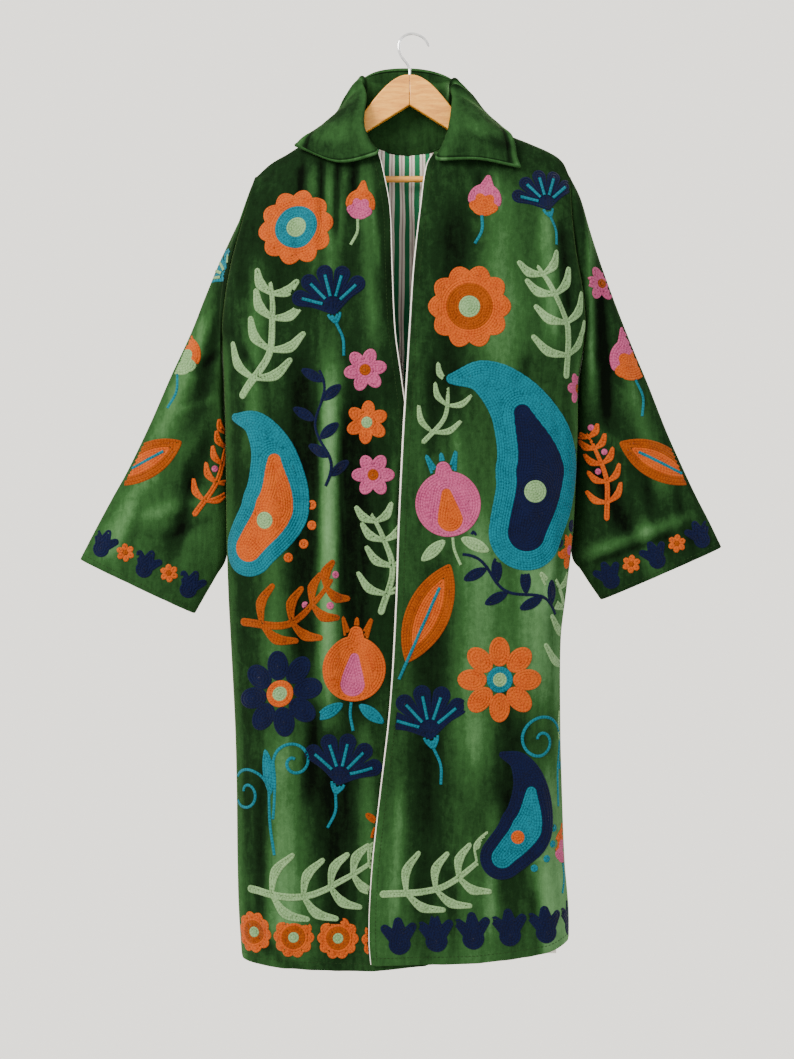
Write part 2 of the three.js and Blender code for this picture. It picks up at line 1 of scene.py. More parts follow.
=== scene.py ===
import math
import bmesh
import bpy
import numpy as np
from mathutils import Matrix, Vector


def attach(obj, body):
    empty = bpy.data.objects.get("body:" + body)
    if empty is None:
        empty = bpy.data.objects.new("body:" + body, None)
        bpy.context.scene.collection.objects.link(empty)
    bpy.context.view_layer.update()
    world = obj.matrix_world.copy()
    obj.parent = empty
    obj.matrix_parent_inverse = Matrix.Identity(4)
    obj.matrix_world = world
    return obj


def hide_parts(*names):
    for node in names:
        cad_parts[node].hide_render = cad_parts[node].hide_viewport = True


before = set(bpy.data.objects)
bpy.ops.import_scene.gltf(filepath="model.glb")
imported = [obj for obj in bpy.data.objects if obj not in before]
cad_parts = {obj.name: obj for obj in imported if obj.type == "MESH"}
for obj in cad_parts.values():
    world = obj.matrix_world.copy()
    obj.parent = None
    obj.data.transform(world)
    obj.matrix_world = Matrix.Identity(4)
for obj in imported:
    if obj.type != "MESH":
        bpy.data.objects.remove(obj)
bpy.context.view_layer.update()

# A long velvet coat, open at the front, with raised chain-stitch embroidery, on a wooden hanger.
# Working sizes are millimetres measured from the hook's neck; place() turns them into the frame's
# metres. Left and right are the wearer's, so the left front is at +X.

NECK_X = -5.0     # the hook's neck in the frame
WALL = 3.0        # velvet and lining together
COLLAR_WALL = 4.0
LINING_WALL = 1.0
SEAM = 0.3        # left between two pieces
ARMHOLE_GAP = 0.8
SHOULDER_TIP_Z = -188.0
UNDERARM_Z = -400.0
HEM_Z = -1220.0
NECK_POINT_Z = -104.0
NECK_POINT = {"right": -75.0, "left": 74.0}
FRONT_CORNER = {"right": (-44.0, -158.0), "left": (35.0, -164.0)}
BACK_NECK_DROP = 52.0
ROUND = 2.3       # power of the rounded sections: 2 is an ellipse, more is squarer
# The right front sinks this deep before it goes under the left one. It starts and ends sinking this
# far short of the left front's edge.
LAP_DEPTH, LAP_START, LAP_END = 5.5, 40.0, 10.0
PIPING_RADIUS = {"left": (0.75, 1.25, 1.1, 0.6), "right": (0.7, 0.8, 0.9, 1.0)}  # from the top to the hem
HOOK_RADIUS = 1.75
HOOK_ROOT_Z = -74.0
WOOD_HALF = 5.5
METRE = 1000.0
COLLAR_LENGTH, COLLAR_DEPTH = 560.0, 106.0    # along its seam, and from the seam to its edge
SLEEVE_LENGTH, SLEEVE_GIRTH = 560.0, 380.0
TOPSTITCH_INSET = 6.5  # mm in from an edge


# ------------------------------------------------------------------ tables of the cut and the drape
def table(names, rows):
    """Rows of numbers as one array for each named column."""
    return {name: np.array([row[i] for row in rows], float) for i, name in enumerate(names)}


SIDES = table(("z", "right", "left"), [
    (-188, -203, 212), (-225, -213, 212.5), (-262, -223, 215), (-300, -233, 220), (-347, -242, 228.5),
    (-400, -248, 232), (-456, -246, 224), (-523, -244, 223), (-600, -243, 220), (-662, -242.5, 216.5),
    (-743, -240, 207), (-800, -237, 200.5), (-918, -231, 200), (-1000, -229, 202), (-1093, -228, 205.5),
    (-1163, -226, 211), (-1240, -220.5, 210)])

FRONT_EDGES = table(("z", "right", "left"), [
    (-158, -44, 35), (-180, -38, 24), (-236, -28, 16), (-313, -25, 7.5), (-397, -21, 2),
    (-457, -13, -1.5), (-530, -4, -6), (-654, 4, -12), (-746, 8, -15), (-882, 13, -23),
    (-1004, 18, -37), (-1095, 21, -47), (-1187, 24, -51), (-1250, 25, -45)])

SHOULDER = table(("x", "z"), [
    (-203, -188), (-184, -171), (-162, -158), (-107, -122.5), (-75, -104), (0, -61), (74, -104),
    (132, -133), (158, -143.5), (189, -157.5), (204, -170), (212, -188)])

DEPTHS = table(("z", "front", "back"), [
    (-60, 30, 17), (-200, 40, 21), (-330, 51, 24), (-600, 50, 24), (-900, 46, 24), (-1250, 50, 25)])

HEMS = {
    "right": table(("x", "z"), [(-222, -1217), (-160, -1223), (-83, -1227), (-50, -1228), (25, -1221)]),
    "left": table(("x", "z"), [
        (-46, -1220), (8, -1219), (79, -1217), (129, -1212), (180, -1204), (210, -1193)]),
    "back": table(("x", "z"), [(-222, -1218), (-90, -1229), (0, -1233), (110, -1218), (210, -1193)]),
}

FOLD_COLUMNS = ("head_x", "head_z", "foot_x", "foot_z", "width", "rise")
FRONT_FOLDS = table(FOLD_COLUMNS, [
    (-128, -172, -124, -330, 9, 3.5), (-104, -176, -103, -360, 9, 5), (-84, -176, -92, -300, 7, 3),
    (-60, -176, -45, -420, 10, 4), (-103, -420, -105, -900, 17, 9), (-140, -440, -138, -850, 16, -5),
    (-68, -470, -74, -900, 18, -5), (-178, -560, -172, -900, 20, 4), (-165, -900, -160, -1235, 24, 6),
    (-100, -930, -88, -1240, 24, -4), (-214, -1168, -140, -1232, 12, -4), (62, -230, 48, -520, 20, -3),
    (118, -200, 122, -470, 30, 4), (178, -230, 186, -420, 14, 5), (160, -560, 168, -900, 26, 5),
    (96, -620, 84, -1000, 30, 4), (30, -700, 18, -1235, 24, -4), (126, -860, 140, -1230, 26, -4),
    (178, -960, 186, -1222, 20, 5)])
BACK_FOLDS = table(FOLD_COLUMNS, [
    (-158, -260, -150, -1236, 26, 6), (-96, -320, -110, -1240, 24, -4), (-48, -240, -34, -1240, 28, 7),
    (22, -330, 12, -1240, 22, -4), (74, -250, 92, -1230, 28, 7), (128, -420, 140, -1226, 20, -4),
    (176, -300, 168, -900, 20, 5)])

# Creases finer than the solids carry.
FRONT_CREASES = table(FOLD_COLUMNS, [
    (-116, -170, -114, -262, 4, -1.8), (-94, -172, -97, -280, 4, -1.8), (-72, -172, -72, -250, 5, -1.5),
    (-140, -176, -146, -250, 5, -1.2), (-52, -190, -38, -330, 4, 1.2), (-196, -300, -206, -560, 12, 1.6),
    (-218, -420, -190, -470, 6, -1.2), (-120, -470, -124, -700, 6, -1.4), (-86, -500, -88, -760, 6, -1.6),
    (-120, -880, -134, -1010, 8, -1.4), (-60, -900, -52, -1120, 10, 1.4), (-190, -960, -196, -1180, 8, -1.3),
    (-20, -560, -24, -720, 6, 1.0), (90, -186, 92, -250, 6, -1.2), (112, -182, 118, -240, 5, 1.0),
    (196, -250, 206, -380, 7, -1.6), (150, -420, 142, -520, 9, -1.0), (190, -640, 176, -760, 7, 1.4),
    (60, -520, 70, -640, 9, 1.0), (110, -1000, 104, -1180, 9, 1.3), (50, -1080, 60, -1225, 9, -1.1),
    (160, -1120, 168, -1222, 8, -1.3), (-12, -980, -22, -1180, 8, 1.1), (30, -430, 28, -560, 7, -0.9)])
BACK_CREASES = table(FOLD_COLUMNS, [
    (-70, -160, -82, -300, 8, 1.8), (66, -158, 78, -290, 8, 1.8), (-20, -160, -16, -260, 9, -1.4),
    (24, -162, 26, -250, 8, 1.2), (-190, -420, -150, -480, 8, -1.8), (180, -410, 140, -470, 8, -1.8),
    (-128, -600, -124, -860, 9, 1.5), (50, -560, 46, -900, 10, -1.5), (-62, -900, -70, -1200, 10, 1.6),
    (110, -820, 118, -1190, 10, 1.5), (0, -980, -4, -1230, 9, -1.4), (-190, -820, -196, -1200, 10, 1.5)])

SLEEVE_COLUMNS = ("outer_x", "outer_z", "inner_x", "inner_z", "bow", "y", "front", "back")
SLEEVES = {
    "right": table(SLEEVE_COLUMNS, [
        (-203, -188, -248, -400, -8, 0, 24, 18), (-216, -226, -248.2, -425, -12, 3, 24, 18),
        (-235, -264, -246.4, -455, -10, 8, 24, 17), (-254, -303, -245, -490, -7, 12, 24, 16),
        (-272, -346, -243.5, -525, -3, 13, 24, 16), (-291, -394, -242.5, -560, -2, 13, 23, 15),
        (-318, -452, -242, -605, 0, 13, 23, 15), (-345, -514, -241.5, -650, 0, 13, 22, 15),
        (-374, -575, -243.5, -692, 0, 11, 22, 15), (-394, -612, -257, -717, 0, 8, 21, 15),
        (-414, -650, -270, -740, 0, 5, 20, 15), (-436, -693, -284, -765, 0, 3, 19, 15)]),
    "left": table(SLEEVE_COLUMNS, [
        (212, -188, 232, -400, 6, 0, 24, 18), (226, -215, 229.2, -425, 8, 3, 24, 18),
        (239, -256, 224.7, -455, 7, 8, 25, 17), (255, -303, 222.5, -490, 5, 12, 26, 16),
        (276, -360, 222, -525, 3, 13, 26, 16), (297, -413, 220.5, -565, 2, 13, 25, 15),
        (318, -463, 219, -605, 0, 13, 24, 15), (342, -524, 216.5, -645, 0, 13, 23, 15),
        (364, -574, 216, -690, 0, 11, 22, 15), (381, -611, 228, -709, 0, 8, 21, 15),
        (398, -645, 240, -728, 0, 5, 20, 15), (413, -677, 253, -747, 0, 3, 19, 15)]),
}
# "at" goes from 0 at the armhole to 1 at the cuff.
for SLEEVE_ROWS in SLEEVES.values():
    SLEEVE_ROWS["at"] = np.arange(len(SLEEVE_ROWS["y"])) / (len(SLEEVE_ROWS["y"]) - 1)
SLEEVE_FOLDS = {
    "right": table(FOLD_COLUMNS, [
        (-226, -262, -286, -520, 12, -4), (-258, -360, -344, -560, 14, 4), (-262, -520, -318, -700, 13, -4),
        (-330, -560, -408, -700, 16, 4), (-270, -610, -352, -640, 12, 3)]),
    "left": table(FOLD_COLUMNS, [
        (237, -243, 240, -480, 7, 5), (250, -330, 262, -520, 9, -5), (282, -440, 340, -610, 14, 4),
        (238, -560, 300, -680, 12, -4), (226, -690, 372, -636, 9, 4), (300, -640, 330, -724, 14, 3)]),
}
SLEEVE_CREASES = {
    "right": table(FOLD_COLUMNS, [
        (-250, -420, -290, -450, 6, -1.6), (-252, -480, -310, -500, 6, 1.3), (-290, -560, -300, -660, 6, -1.3),
        (-350, -600, -372, -690, 7, -1.3), (-262, -640, -330, -668, 6, -1.2)]),
    "left": table(FOLD_COLUMNS, [
        (246, -420, 286, -470, 6, -1.5), (240, -520, 300, -560, 6, 1.4), (300, -540, 322, -640, 7, -1.3),
        (240, -700, 350, -660, 4, -1.6), (350, -600, 372, -676, 7, -1.2)]),
}

COLLAR_ROWS = [  # panel, column of its top edge, then stand, fold, fall and edge points
    ("right", 12, (-44.5, -40, -160), (-46, -43.5, -167), (-94, -42, -176), (-150, -24, -151)),
    ("right", 11, (-57, -38, -149), (-57, -42, -149), (-100, -40, -160), (-147, -20, -148)),
    ("right", 10, (-68, -31, -131), (-63, -34, -122), (-101, -33, -130), (-138, -13, -138)),
    ("right", 9, (-69, -8, -97), (-59, -13, -88), (-86, -12, -101), (-116, -1, -122)),
    ("back", 8, (-70, 11, -98), (-60, -2, -74), (-76, 1, -80), (-97, 13, -101)),
    ("back", 9, (-62, 17, -100), (-64, 9, -58), (-71, 9, -60), (-81, 15, -74)),
    ("back", 10, (-35, 21, -106), (-43, 22, -64), (-46, 21, -54), (-48, 20, -46)),
    ("back", 11, (0, 21, -108), (0, 24, -66), (0, 25, -52), (0, 25, -39)),
    ("back", 12, (32, 21, -106), (38, 22, -64), (41, 21, -55), (43, 20, -48)),
    ("back", 13, (56, 19, -100), (58, 9, -62), (67, 8, -63), (79, 13, -73)),
    ("back", 14, (69, 11, -98), (57, -3, -76), (74, 0, -79), (99, 12, -98)),
    ("left", 9, (68, -8, -98), (58, -13, -91), (86, -13, -101), (121, -1, -122)),
    ("left", 10, (65, -32, -133), (54, -35, -124), (94, -34, -131), (134, -19, -139)),
    ("left", 11, (52, -39, -153), (48, -43, -151), (96, -42, -158), (139, -30, -167)),
    ("left", 12, (36.5, -41, -167), (38.5, -44, -174), (90, -43.5, -173), (144, -35, -182)),
]


# ------------------------------------------------------------------ number helpers
def read(rows, key, column, at):
    """A smooth curve through a table's rows."""
    keys, values = rows[key], rows[column]
    if keys[-1] < keys[0]:
        keys, values = keys[::-1], values[::-1]
    slope = np.zeros_like(values)
    slope[1:-1] = (values[2:] - values[:-2]) / (keys[2:] - keys[:-2])
    slope[0] = (values[1] - values[0]) / (keys[1] - keys[0])
    slope[-1] = (values[-1] - values[-2]) / (keys[-1] - keys[-2])
    at = np.clip(np.asarray(at, float), keys[0], keys[-1])
    i = np.clip(np.searchsorted(keys, at) - 1, 0, len(keys) - 2)
    span = keys[i + 1] - keys[i]
    t = (at - keys[i]) / span
    ease = t * t * (3 - 2 * t)
    bend = t * (1 - t) * ((1 - t) * slope[i] - t * slope[i + 1])
    return values[i] * (1 - ease) + values[i + 1] * ease + span * bend


def mix(a, b, t):
    return a + (b - a) * t


def smoothstep(t, low, high):
    t = np.clip((t - low) / (high - low), 0, 1)
    return t * t * (3 - 2 * t)


def round_out(t, power):
    """Rises from 0 to 1 as t does, steeply at first, like the side of a rounded section."""
    return (1 - (1 - np.clip(t, 0, 1)) ** power) ** (1 / power)


def unit(v):
    return v / np.maximum(np.linalg.norm(v, axis=-1, keepdims=True), 1e-9)


def fold_height(folds, x, z):
    """How far a table's folds and creases stand out at a place, in mm."""
    height = np.zeros(np.broadcast(x, z).shape)
    for hx, hz, fx, fz, width, rise in zip(*(folds[c] for c in FOLD_COLUMNS)):
        dx, dz = fx - hx, fz - hz
        t = ((x - hx) * dx + (z - hz) * dz) / (dx * dx + dz * dz)
        off = ((x - hx) * dz - (z - hz) * dx) / math.hypot(dx, dz)
        ends = smoothstep(t, -0.12, 0.2) * (1 - smoothstep(t, 0.8, 1.12))
        height = height + rise * ends * np.exp(-((off / width) ** 2))
    return height


def ripple(x, z, seed):
    """Slight unevenness of hanging cloth, a few slow waves with fixed phases."""
    phase = np.random.default_rng(seed).uniform(0, 2 * math.pi, 8)
    waves = [(61, 410), (37, 260), (89, 170), (23, 330), (29, 95), (47, 61), (17, 210), (131, 83)]
    size = [0.55, 0.45, 0.5, 0.25, 0.22, 0.25, 0.16, 0.35]
    total = 0.0
    for (a, b), s, p in zip(waves, size, phase):
        total = total + s * np.sin(2 * math.pi * (x / a + z / b) + p)
    return total


# ------------------------------------------------------------------ the body's surfaces
def side_x(side, z):
    return read(SIDES, "z", side, z)


def edge_x(side, z):
    return read(FRONT_EDGES, "z", side, z)


def shoulder_z(x):
    return read(SHOULDER, "x", "z", x)


def armhole_depth(z):
    """The outline of an armhole seen from the side, from 0 at its ends to 1 in its middle."""
    middle = (SHOULDER_TIP_Z + UNDERARM_Z) / 2
    half = (SHOULDER_TIP_Z - UNDERARM_Z) / 2
    return round_out(1 - np.abs(z - middle) / half, ROUND)


FACES = {
    "front": dict(side_round=75.0, drop=140.0, armhole=24.0, folds=FRONT_FOLDS, fine=FRONT_CREASES, seed=4),
    "back": dict(side_round=45.0, drop=40.0, armhole=18.0, folds=BACK_FOLDS, fine=BACK_CREASES, seed=9),
}


def section_depth(x, z, name):
    """How far the front or the back stands out from the plane of the side seams, in mm."""
    face = FACES[name]
    to_side = np.minimum(x - side_x("right", z), side_x("left", z) - x)
    swell = round_out(to_side / face["side_round"], ROUND)
    below = round_out((shoulder_z(x) - z) / face["drop"], 2)
    folds = fold_height(face["folds"], x, z) + fold_height(face["fine"], x, z)
    folds = folds + ripple(x, z, face["seed"]) * smoothstep(shoulder_z(x) - z, 20, 90)
    depth = (read(DEPTHS, "z", name, z) + folds) * below
    return mix(face["armhole"] * armhole_depth(z), depth, swell)


def front_y(x, z):
    return -section_depth(x, z, "front")


def under_front_y(x, z):
    over = edge_x("left", z)
    return front_y(x, z) + LAP_DEPTH * smoothstep(x, over - LAP_START, over - LAP_END)


def back_y(x, z):
    return section_depth(x, z, "back")


def surface_normal(surface, outward, x, z):
    step = 0.4
    slope_x = (surface(x + step, z) - surface(x - step, z)) / (2 * step)
    slope_z = (surface(x, z + step) - surface(x, z - step)) / (2 * step)
    return unit(np.stack([-slope_x, np.ones_like(slope_x), -slope_z], -1) * outward)


def front_neck_z(side, x):
    corner = FRONT_CORNER[side]
    t = np.clip((x - NECK_POINT[side]) / (corner[0] - NECK_POINT[side]), 0, 1)
    return mix(NECK_POINT_Z, corner[1], np.sqrt(1 - (1 - t) ** 2))


def back_neck_z(x):
    reach = np.where(x < 0, NECK_POINT["right"], NECK_POINT["left"])
    return NECK_POINT_Z - BACK_NECK_DROP * np.sqrt(np.maximum(0, 1 - (x / reach) ** 2))


# ------------------------------------------------------------------ meshes
def place(points):
    """Points in the frame, in metres, from points in mm."""
    return (np.asarray(points, float).reshape(-1, 3) + (NECK_X, 0, 0)) / METRE


def make_mesh(name, points, faces, materials, material_index=None, uvs=None, nap_and_shading=None):
    """A smooth mesh object at the origin, from points in millimetres."""
    mesh = bpy.data.meshes.new(name)
    mesh.from_pydata(place(points).tolist(), [], [tuple(int(i) for i in f) for f in faces])
    for material in materials:
        mesh.materials.append(material)
    mesh.polygons.foreach_set("use_smooth", [True] * len(mesh.polygons))
    if material_index is not None:
        mesh.polygons.foreach_set("material_index", np.asarray(material_index, np.int32))
    if uvs is not None:
        loops = np.empty(len(mesh.loops), np.int32)
        mesh.loops.foreach_get("vertex_index", loops)
        layer = mesh.uv_layers.new(name="cloth")
        layer.data.foreach_set("uv", np.asarray(uvs, np.float32)[loops].ravel())
    if nap_and_shading is not None:
        attribute = mesh.attributes.new("nap_and_shading", "FLOAT", "POINT")
        attribute.data.foreach_set("value", np.asarray(nap_and_shading, np.float32).ravel())
    mesh.update()
    obj = bpy.data.objects.new(name, mesh)
    bpy.context.scene.collection.objects.link(obj)
    return obj


def grid_faces(rows, columns, start, wrap, flip):
    spans = columns if wrap else columns - 1
    r, c = np.meshgrid(np.arange(rows - 1), np.arange(spans), indexing="ij")
    d = (c + 1) % columns
    quads = np.stack([r * columns + c, (r + 1) * columns + c, (r + 1) * columns + d, r * columns + d], -1)
    quads = quads.reshape(-1, 4) + start
    return quads[:, ::-1] if flip else quads


def rim_loop(rows, columns):
    """The outline of a grid, as (row, column, neighbour row, neighbour column)."""
    top = [(0, c, 1, c) for c in range(columns)]
    right = [(r, columns - 1, r, columns - 2) for r in range(1, rows)]
    bottom = [(rows - 1, c, rows - 2, c) for c in range(columns - 2, -1, -1)]
    left = [(r, 0, r, 1) for r in range(rows - 2, 0, -1)]
    return top + right + bottom + left


ROLL_ANGLES = np.radians([35, 65, 90, 115, 145])


def rim_roll(rolls, row, column, rows, columns):
    """How far the rim bulges at one of its points; at a corner, the smaller of its two edges' rolls."""
    on_edge = (row == 0, row == rows - 1, column == 0, column == columns - 1)
    return min(roll for roll, here in zip(rolls, on_edge) if here)


def cloth_wall(name, outer, inner, materials, rolls, flip, lined, uvs, nap_and_shading, wrap=False):
    """A closed cloth wall between two grids of points. rolls says how far each edge bulges as a
    turned hem: top, bottom, start and end. Inner faces take the second material where lined, an
    array over the grid's cells, is true."""
    rows, columns = outer.shape[:2]
    size = rows * columns
    points = [outer.reshape(-1, 3), inner.reshape(-1, 3)]
    faces = [grid_faces(rows, columns, 0, wrap, flip), grid_faces(rows, columns, size, wrap, not flip)]
    index = [np.zeros(len(faces[0]), int), lined.astype(int).reshape(-1)]
    edges = []
    if wrap:
        edges.append(([(0, c, 1, c) for c in range(columns)], [rolls[0]] * columns))
        edges.append(([(rows - 1, c, rows - 2, c) for c in range(columns)][::-1], [rolls[1]] * columns))
    else:
        loop = rim_loop(rows, columns)
        edges.append((loop, [rim_roll(rolls, r, c, rows, columns) for r, c, _, _ in loop]))
    start = 2 * size
    grid_uv, grid_nap_and_shading = uvs.reshape(-1, 2), nap_and_shading.reshape(-1)
    all_uv, all_nap_and_shading = [grid_uv, grid_uv], [grid_nap_and_shading, grid_nap_and_shading]
    for loop, roll in edges:
        r, c, nr, nc = (np.array(v) for v in zip(*loop))
        a, b = outer[r, c], inner[r, c]
        middle, half = (a + b) / 2, (a - b) / 2
        out = middle - (outer[nr, nc] + inner[nr, nc]) / 2
        out = unit(out - unit(half) * np.sum(out * unit(half), -1, keepdims=True))
        out = out * np.array(roll)[:, None]
        rings = [middle + half * math.cos(angle) + out * math.sin(angle) for angle in ROLL_ANGLES]
        count, steps = len(loop), len(rings)
        points += rings
        ids = [r * columns + c] + [start + k * count + np.arange(count) for k in range(steps)]
        ids.append(size + r * columns + c)
        for upper, lower in zip(ids[:-1], ids[1:]):
            quads = np.stack([upper, np.roll(upper, -1), np.roll(lower, -1), lower], -1)
            faces.append(quads[:, ::-1] if flip else quads)
            index.append(np.zeros(count, int))
        all_uv += [grid_uv[r * columns + c]] * steps
        all_nap_and_shading += [grid_nap_and_shading[r * columns + c]] * steps
        start += steps * count
    return make_mesh(name, np.concatenate(points), np.concatenate(faces), materials,
                     np.concatenate(index), np.concatenate(all_uv), np.concatenate(all_nap_and_shading))


# ------------------------------------------------------------------ materials
def srgb(code):
    """The linear colour of an sRGB hex value."""
    values = [int(code[i:i + 2], 16) / 255 for i in (1, 3, 5)]
    return [v / 12.92 if v <= 0.04045 else ((v + 0.055) / 1.055) ** 2.4 for v in values] + [1.0]


def add_node(tree, kind, settings=None, links=None, **values):
    """Adds a node, with attributes from settings, socket values by name and links to sockets."""
    node = tree.nodes.new(kind)
    for key, value in (settings or {}).items():
        setattr(node, key, value)
    for key, value in values.items():
        socket = int(key[1:]) if key[1:].isdigit() else key.replace("_", " ")
        node.inputs[socket].default_value = value
    for key, source in (links or {}).items():
        tree.links.new(source, node.inputs[key])
    return node


def new_material(name):
    material = bpy.data.materials.new(name)
    material.use_nodes = True
    tree = material.node_tree
    tree.nodes.clear()
    output = tree.nodes.new("ShaderNodeOutputMaterial")
    return material, tree, output


def finish_material(tree, output, colour, bump=None, **values):
    shader = tree.nodes.new("ShaderNodeBsdfPrincipled")
    for key, value in values.items():
        shader.inputs[key.replace("_", " ")].default_value = value
    tree.links.new(colour, shader.inputs["Base Color"])
    if bump is not None:
        tree.links.new(bump, shader.inputs["Normal"])
    tree.links.new(shader.outputs[0], output.inputs[0])
    return shader


def ramp(tree, factor, stops, interpolation="LINEAR"):
    node = tree.nodes.new("ShaderNodeValToRGB")
    node.color_ramp.interpolation = interpolation
    elements = node.color_ramp.elements
    while len(elements) < len(stops):
        elements.new(0.5)
    for element, (position, code) in zip(elements, stops):
        element.position = position
        element.color = srgb(code)
    tree.links.new(factor, node.inputs[0])
    return node.outputs[0]


def velvet_material(name, dark, middle, light, pale):
    """Cotton velvet, woven with a 2 mm pile and brushed: the pile leans in patches, so it goes from
    near black to pale green, and it lights up where it is seen from the side. A mesh attribute adds
    painted light and shade: lighter on fold ridges, side seams and collar edges, darker in troughs and grooves."""
    material, tree, output = new_material(name)
    place_in = tree.nodes.new("ShaderNodeTexCoord").outputs["Object"]
    stretched = add_node(tree, "ShaderNodeMapping", links={"Vector": place_in}, Scale=(1.0, 1.0, 0.2))
    clouds = add_node(tree, "ShaderNodeTexNoise", links={"Vector": place_in},
                      Scale=8.0, Detail=3.0, Roughness=0.55, Distortion=0.5)
    brushed = add_node(tree, "ShaderNodeTexNoise", links={"Vector": stretched.outputs[0]},
                       Scale=85.0, Detail=6.0, Roughness=0.7, Distortion=0.2)
    patches = add_node(tree, "ShaderNodeTexNoise", links={"Vector": place_in},
                       Scale=120.0, Detail=5.0, Roughness=0.75, Distortion=0.6)
    # Painted light and shade from the meshes: lighter on fold ridges, along the side seams and on the collar's
    # edges and turn, darker in fold troughs and in the stitching's groove.
    nap_and_shading = add_node(tree, "ShaderNodeAttribute", {"attribute_name": "nap_and_shading"})
    total = add_node(tree, "ShaderNodeMath", {"operation": "MULTIPLY_ADD"},
                     {0: clouds.outputs[0], 2: nap_and_shading.outputs["Fac"]}, i1=0.13)
    total = add_node(tree, "ShaderNodeMath", {"operation": "MULTIPLY_ADD"},
                     {0: brushed.outputs[0], 2: total.outputs[0]}, i1=0.20)
    total = add_node(tree, "ShaderNodeMath", {"operation": "MULTIPLY_ADD"},
                     {0: patches.outputs[0], 2: total.outputs[0]}, i1=0.16)
    colour = ramp(tree, total.outputs[0],
                  [(0.075, dark), (0.205, middle), (0.345, light), (0.68, pale)])
    # Pile about 0.4 mm across, drawn 1.4 mm so that it shows.
    pile = add_node(tree, "ShaderNodeTexNoise", links={"Vector": place_in},
                    Scale=700.0, Detail=2.0, Roughness=0.5)
    lean = add_node(tree, "ShaderNodeMath", {"operation": "MULTIPLY_ADD"},
                    {0: brushed.outputs[0], 2: pile.outputs[0]}, i1=1.6)
    bump = add_node(tree, "ShaderNodeBump", links={"Height": lean.outputs[0]},
                    Strength=0.35, Distance=0.0016)
    shader = finish_material(tree, output, colour, bump.outputs[0], Roughness=0.92, Sheen_Weight=0.13,
                             Sheen_Roughness=0.3, Specular_IOR_Level=0.03)
    shader.inputs["Sheen Tint"].default_value = srgb("#8fc070")
    return material


STRIPE_PERIOD = 13.5  # mm


def lining_material():
    """Plain-woven cotton with printed stripes: green, then off-white with a thin mauve-grey line in
    its middle, matte and slightly uneven."""
    material, tree, output = new_material("striped cotton lining")
    uv = tree.nodes.new("ShaderNodeTexCoord").outputs["UV"]
    across = add_node(tree, "ShaderNodeSeparateXYZ", links={0: uv}).outputs["X"]
    phase = add_node(tree, "ShaderNodeMath", {"operation": "MULTIPLY"}, {0: across},
                     i1=METRE / STRIPE_PERIOD).outputs[0]
    phase = add_node(tree, "ShaderNodeMath", {"operation": "FRACT"}, {0: phase}).outputs[0]
    stops = [(0.0, "#c8c2bd"), (0.21, "#8a7c7d"), (0.32, "#c8c2bd"), (0.53, "#12633e")]
    stripes = ramp(tree, phase, stops, "CONSTANT")
    place_in = tree.nodes.new("ShaderNodeTexCoord").outputs["Object"]
    cloud = add_node(tree, "ShaderNodeTexNoise", links={"Vector": place_in}, Scale=22.0, Detail=4.0)
    shade = add_node(tree, "ShaderNodeMixRGB", {"blend_type": "MULTIPLY"},
                     {"Fac": cloud.outputs[0], "Color1": stripes})
    shade.inputs["Color2"].default_value = srgb("#c9c4bd")
    weave = add_node(tree, "ShaderNodeTexNoise", links={"Vector": place_in}, Scale=900.0, Detail=2.0)
    bump = add_node(tree, "ShaderNodeBump", links={"Height": weave.outputs[0]}, Strength=0.25, Distance=0.0006)
    finish_material(tree, output, shade.outputs[0], bump.outputs[0], Roughness=0.85,
                    Sheen_Weight=0.1, Specular_IOR_Level=0.2)
    return material


def thread_material(name, dark, light):
    """Soft two-ply cotton thread in chain stitch: matte, a little fuzzy, with painted shade darker between
    the loops. The loops are 4 mm long, and each row lies partly over the next."""
    material, tree, output = new_material(name)
    coords = tree.nodes.new("ShaderNodeTexCoord")
    uv = add_node(tree, "ShaderNodeSeparateXYZ", links={0: coords.outputs["UV"]})
    # Painted shade: the colour darkens between the chain's loops; the same pattern drives the bump.
    loop = add_node(tree, "ShaderNodeMath", {"operation": "PINGPONG"}, {0: uv.outputs["X"]}, i1=0.5)
    fuzz = add_node(tree, "ShaderNodeTexNoise", links={"Vector": coords.outputs["Object"]},
                    Scale=520.0, Detail=3.0, Roughness=0.6)
    slow = add_node(tree, "ShaderNodeTexNoise", links={"Vector": coords.outputs["Object"]},
                    Scale=60.0, Detail=3.0)
    total = add_node(tree, "ShaderNodeMath", {"operation": "MULTIPLY_ADD"},
                     {0: loop.outputs[0], 2: fuzz.outputs[0]}, i1=0.55)
    total = add_node(tree, "ShaderNodeMath", {"operation": "MULTIPLY_ADD"},
                     {0: slow.outputs[0], 2: total.outputs[0]}, i1=0.45)
    colour = ramp(tree, total.outputs[0], [(0.45, dark), (1.0, light)])
    bump = add_node(tree, "ShaderNodeBump", links={"Height": total.outputs[0]}, Strength=0.5, Distance=0.0009)
    finish_material(tree, output, colour, bump.outputs[0], Roughness=0.88,
                    Sheen_Weight=0.05, Specular_IOR_Level=0.06)
    return material


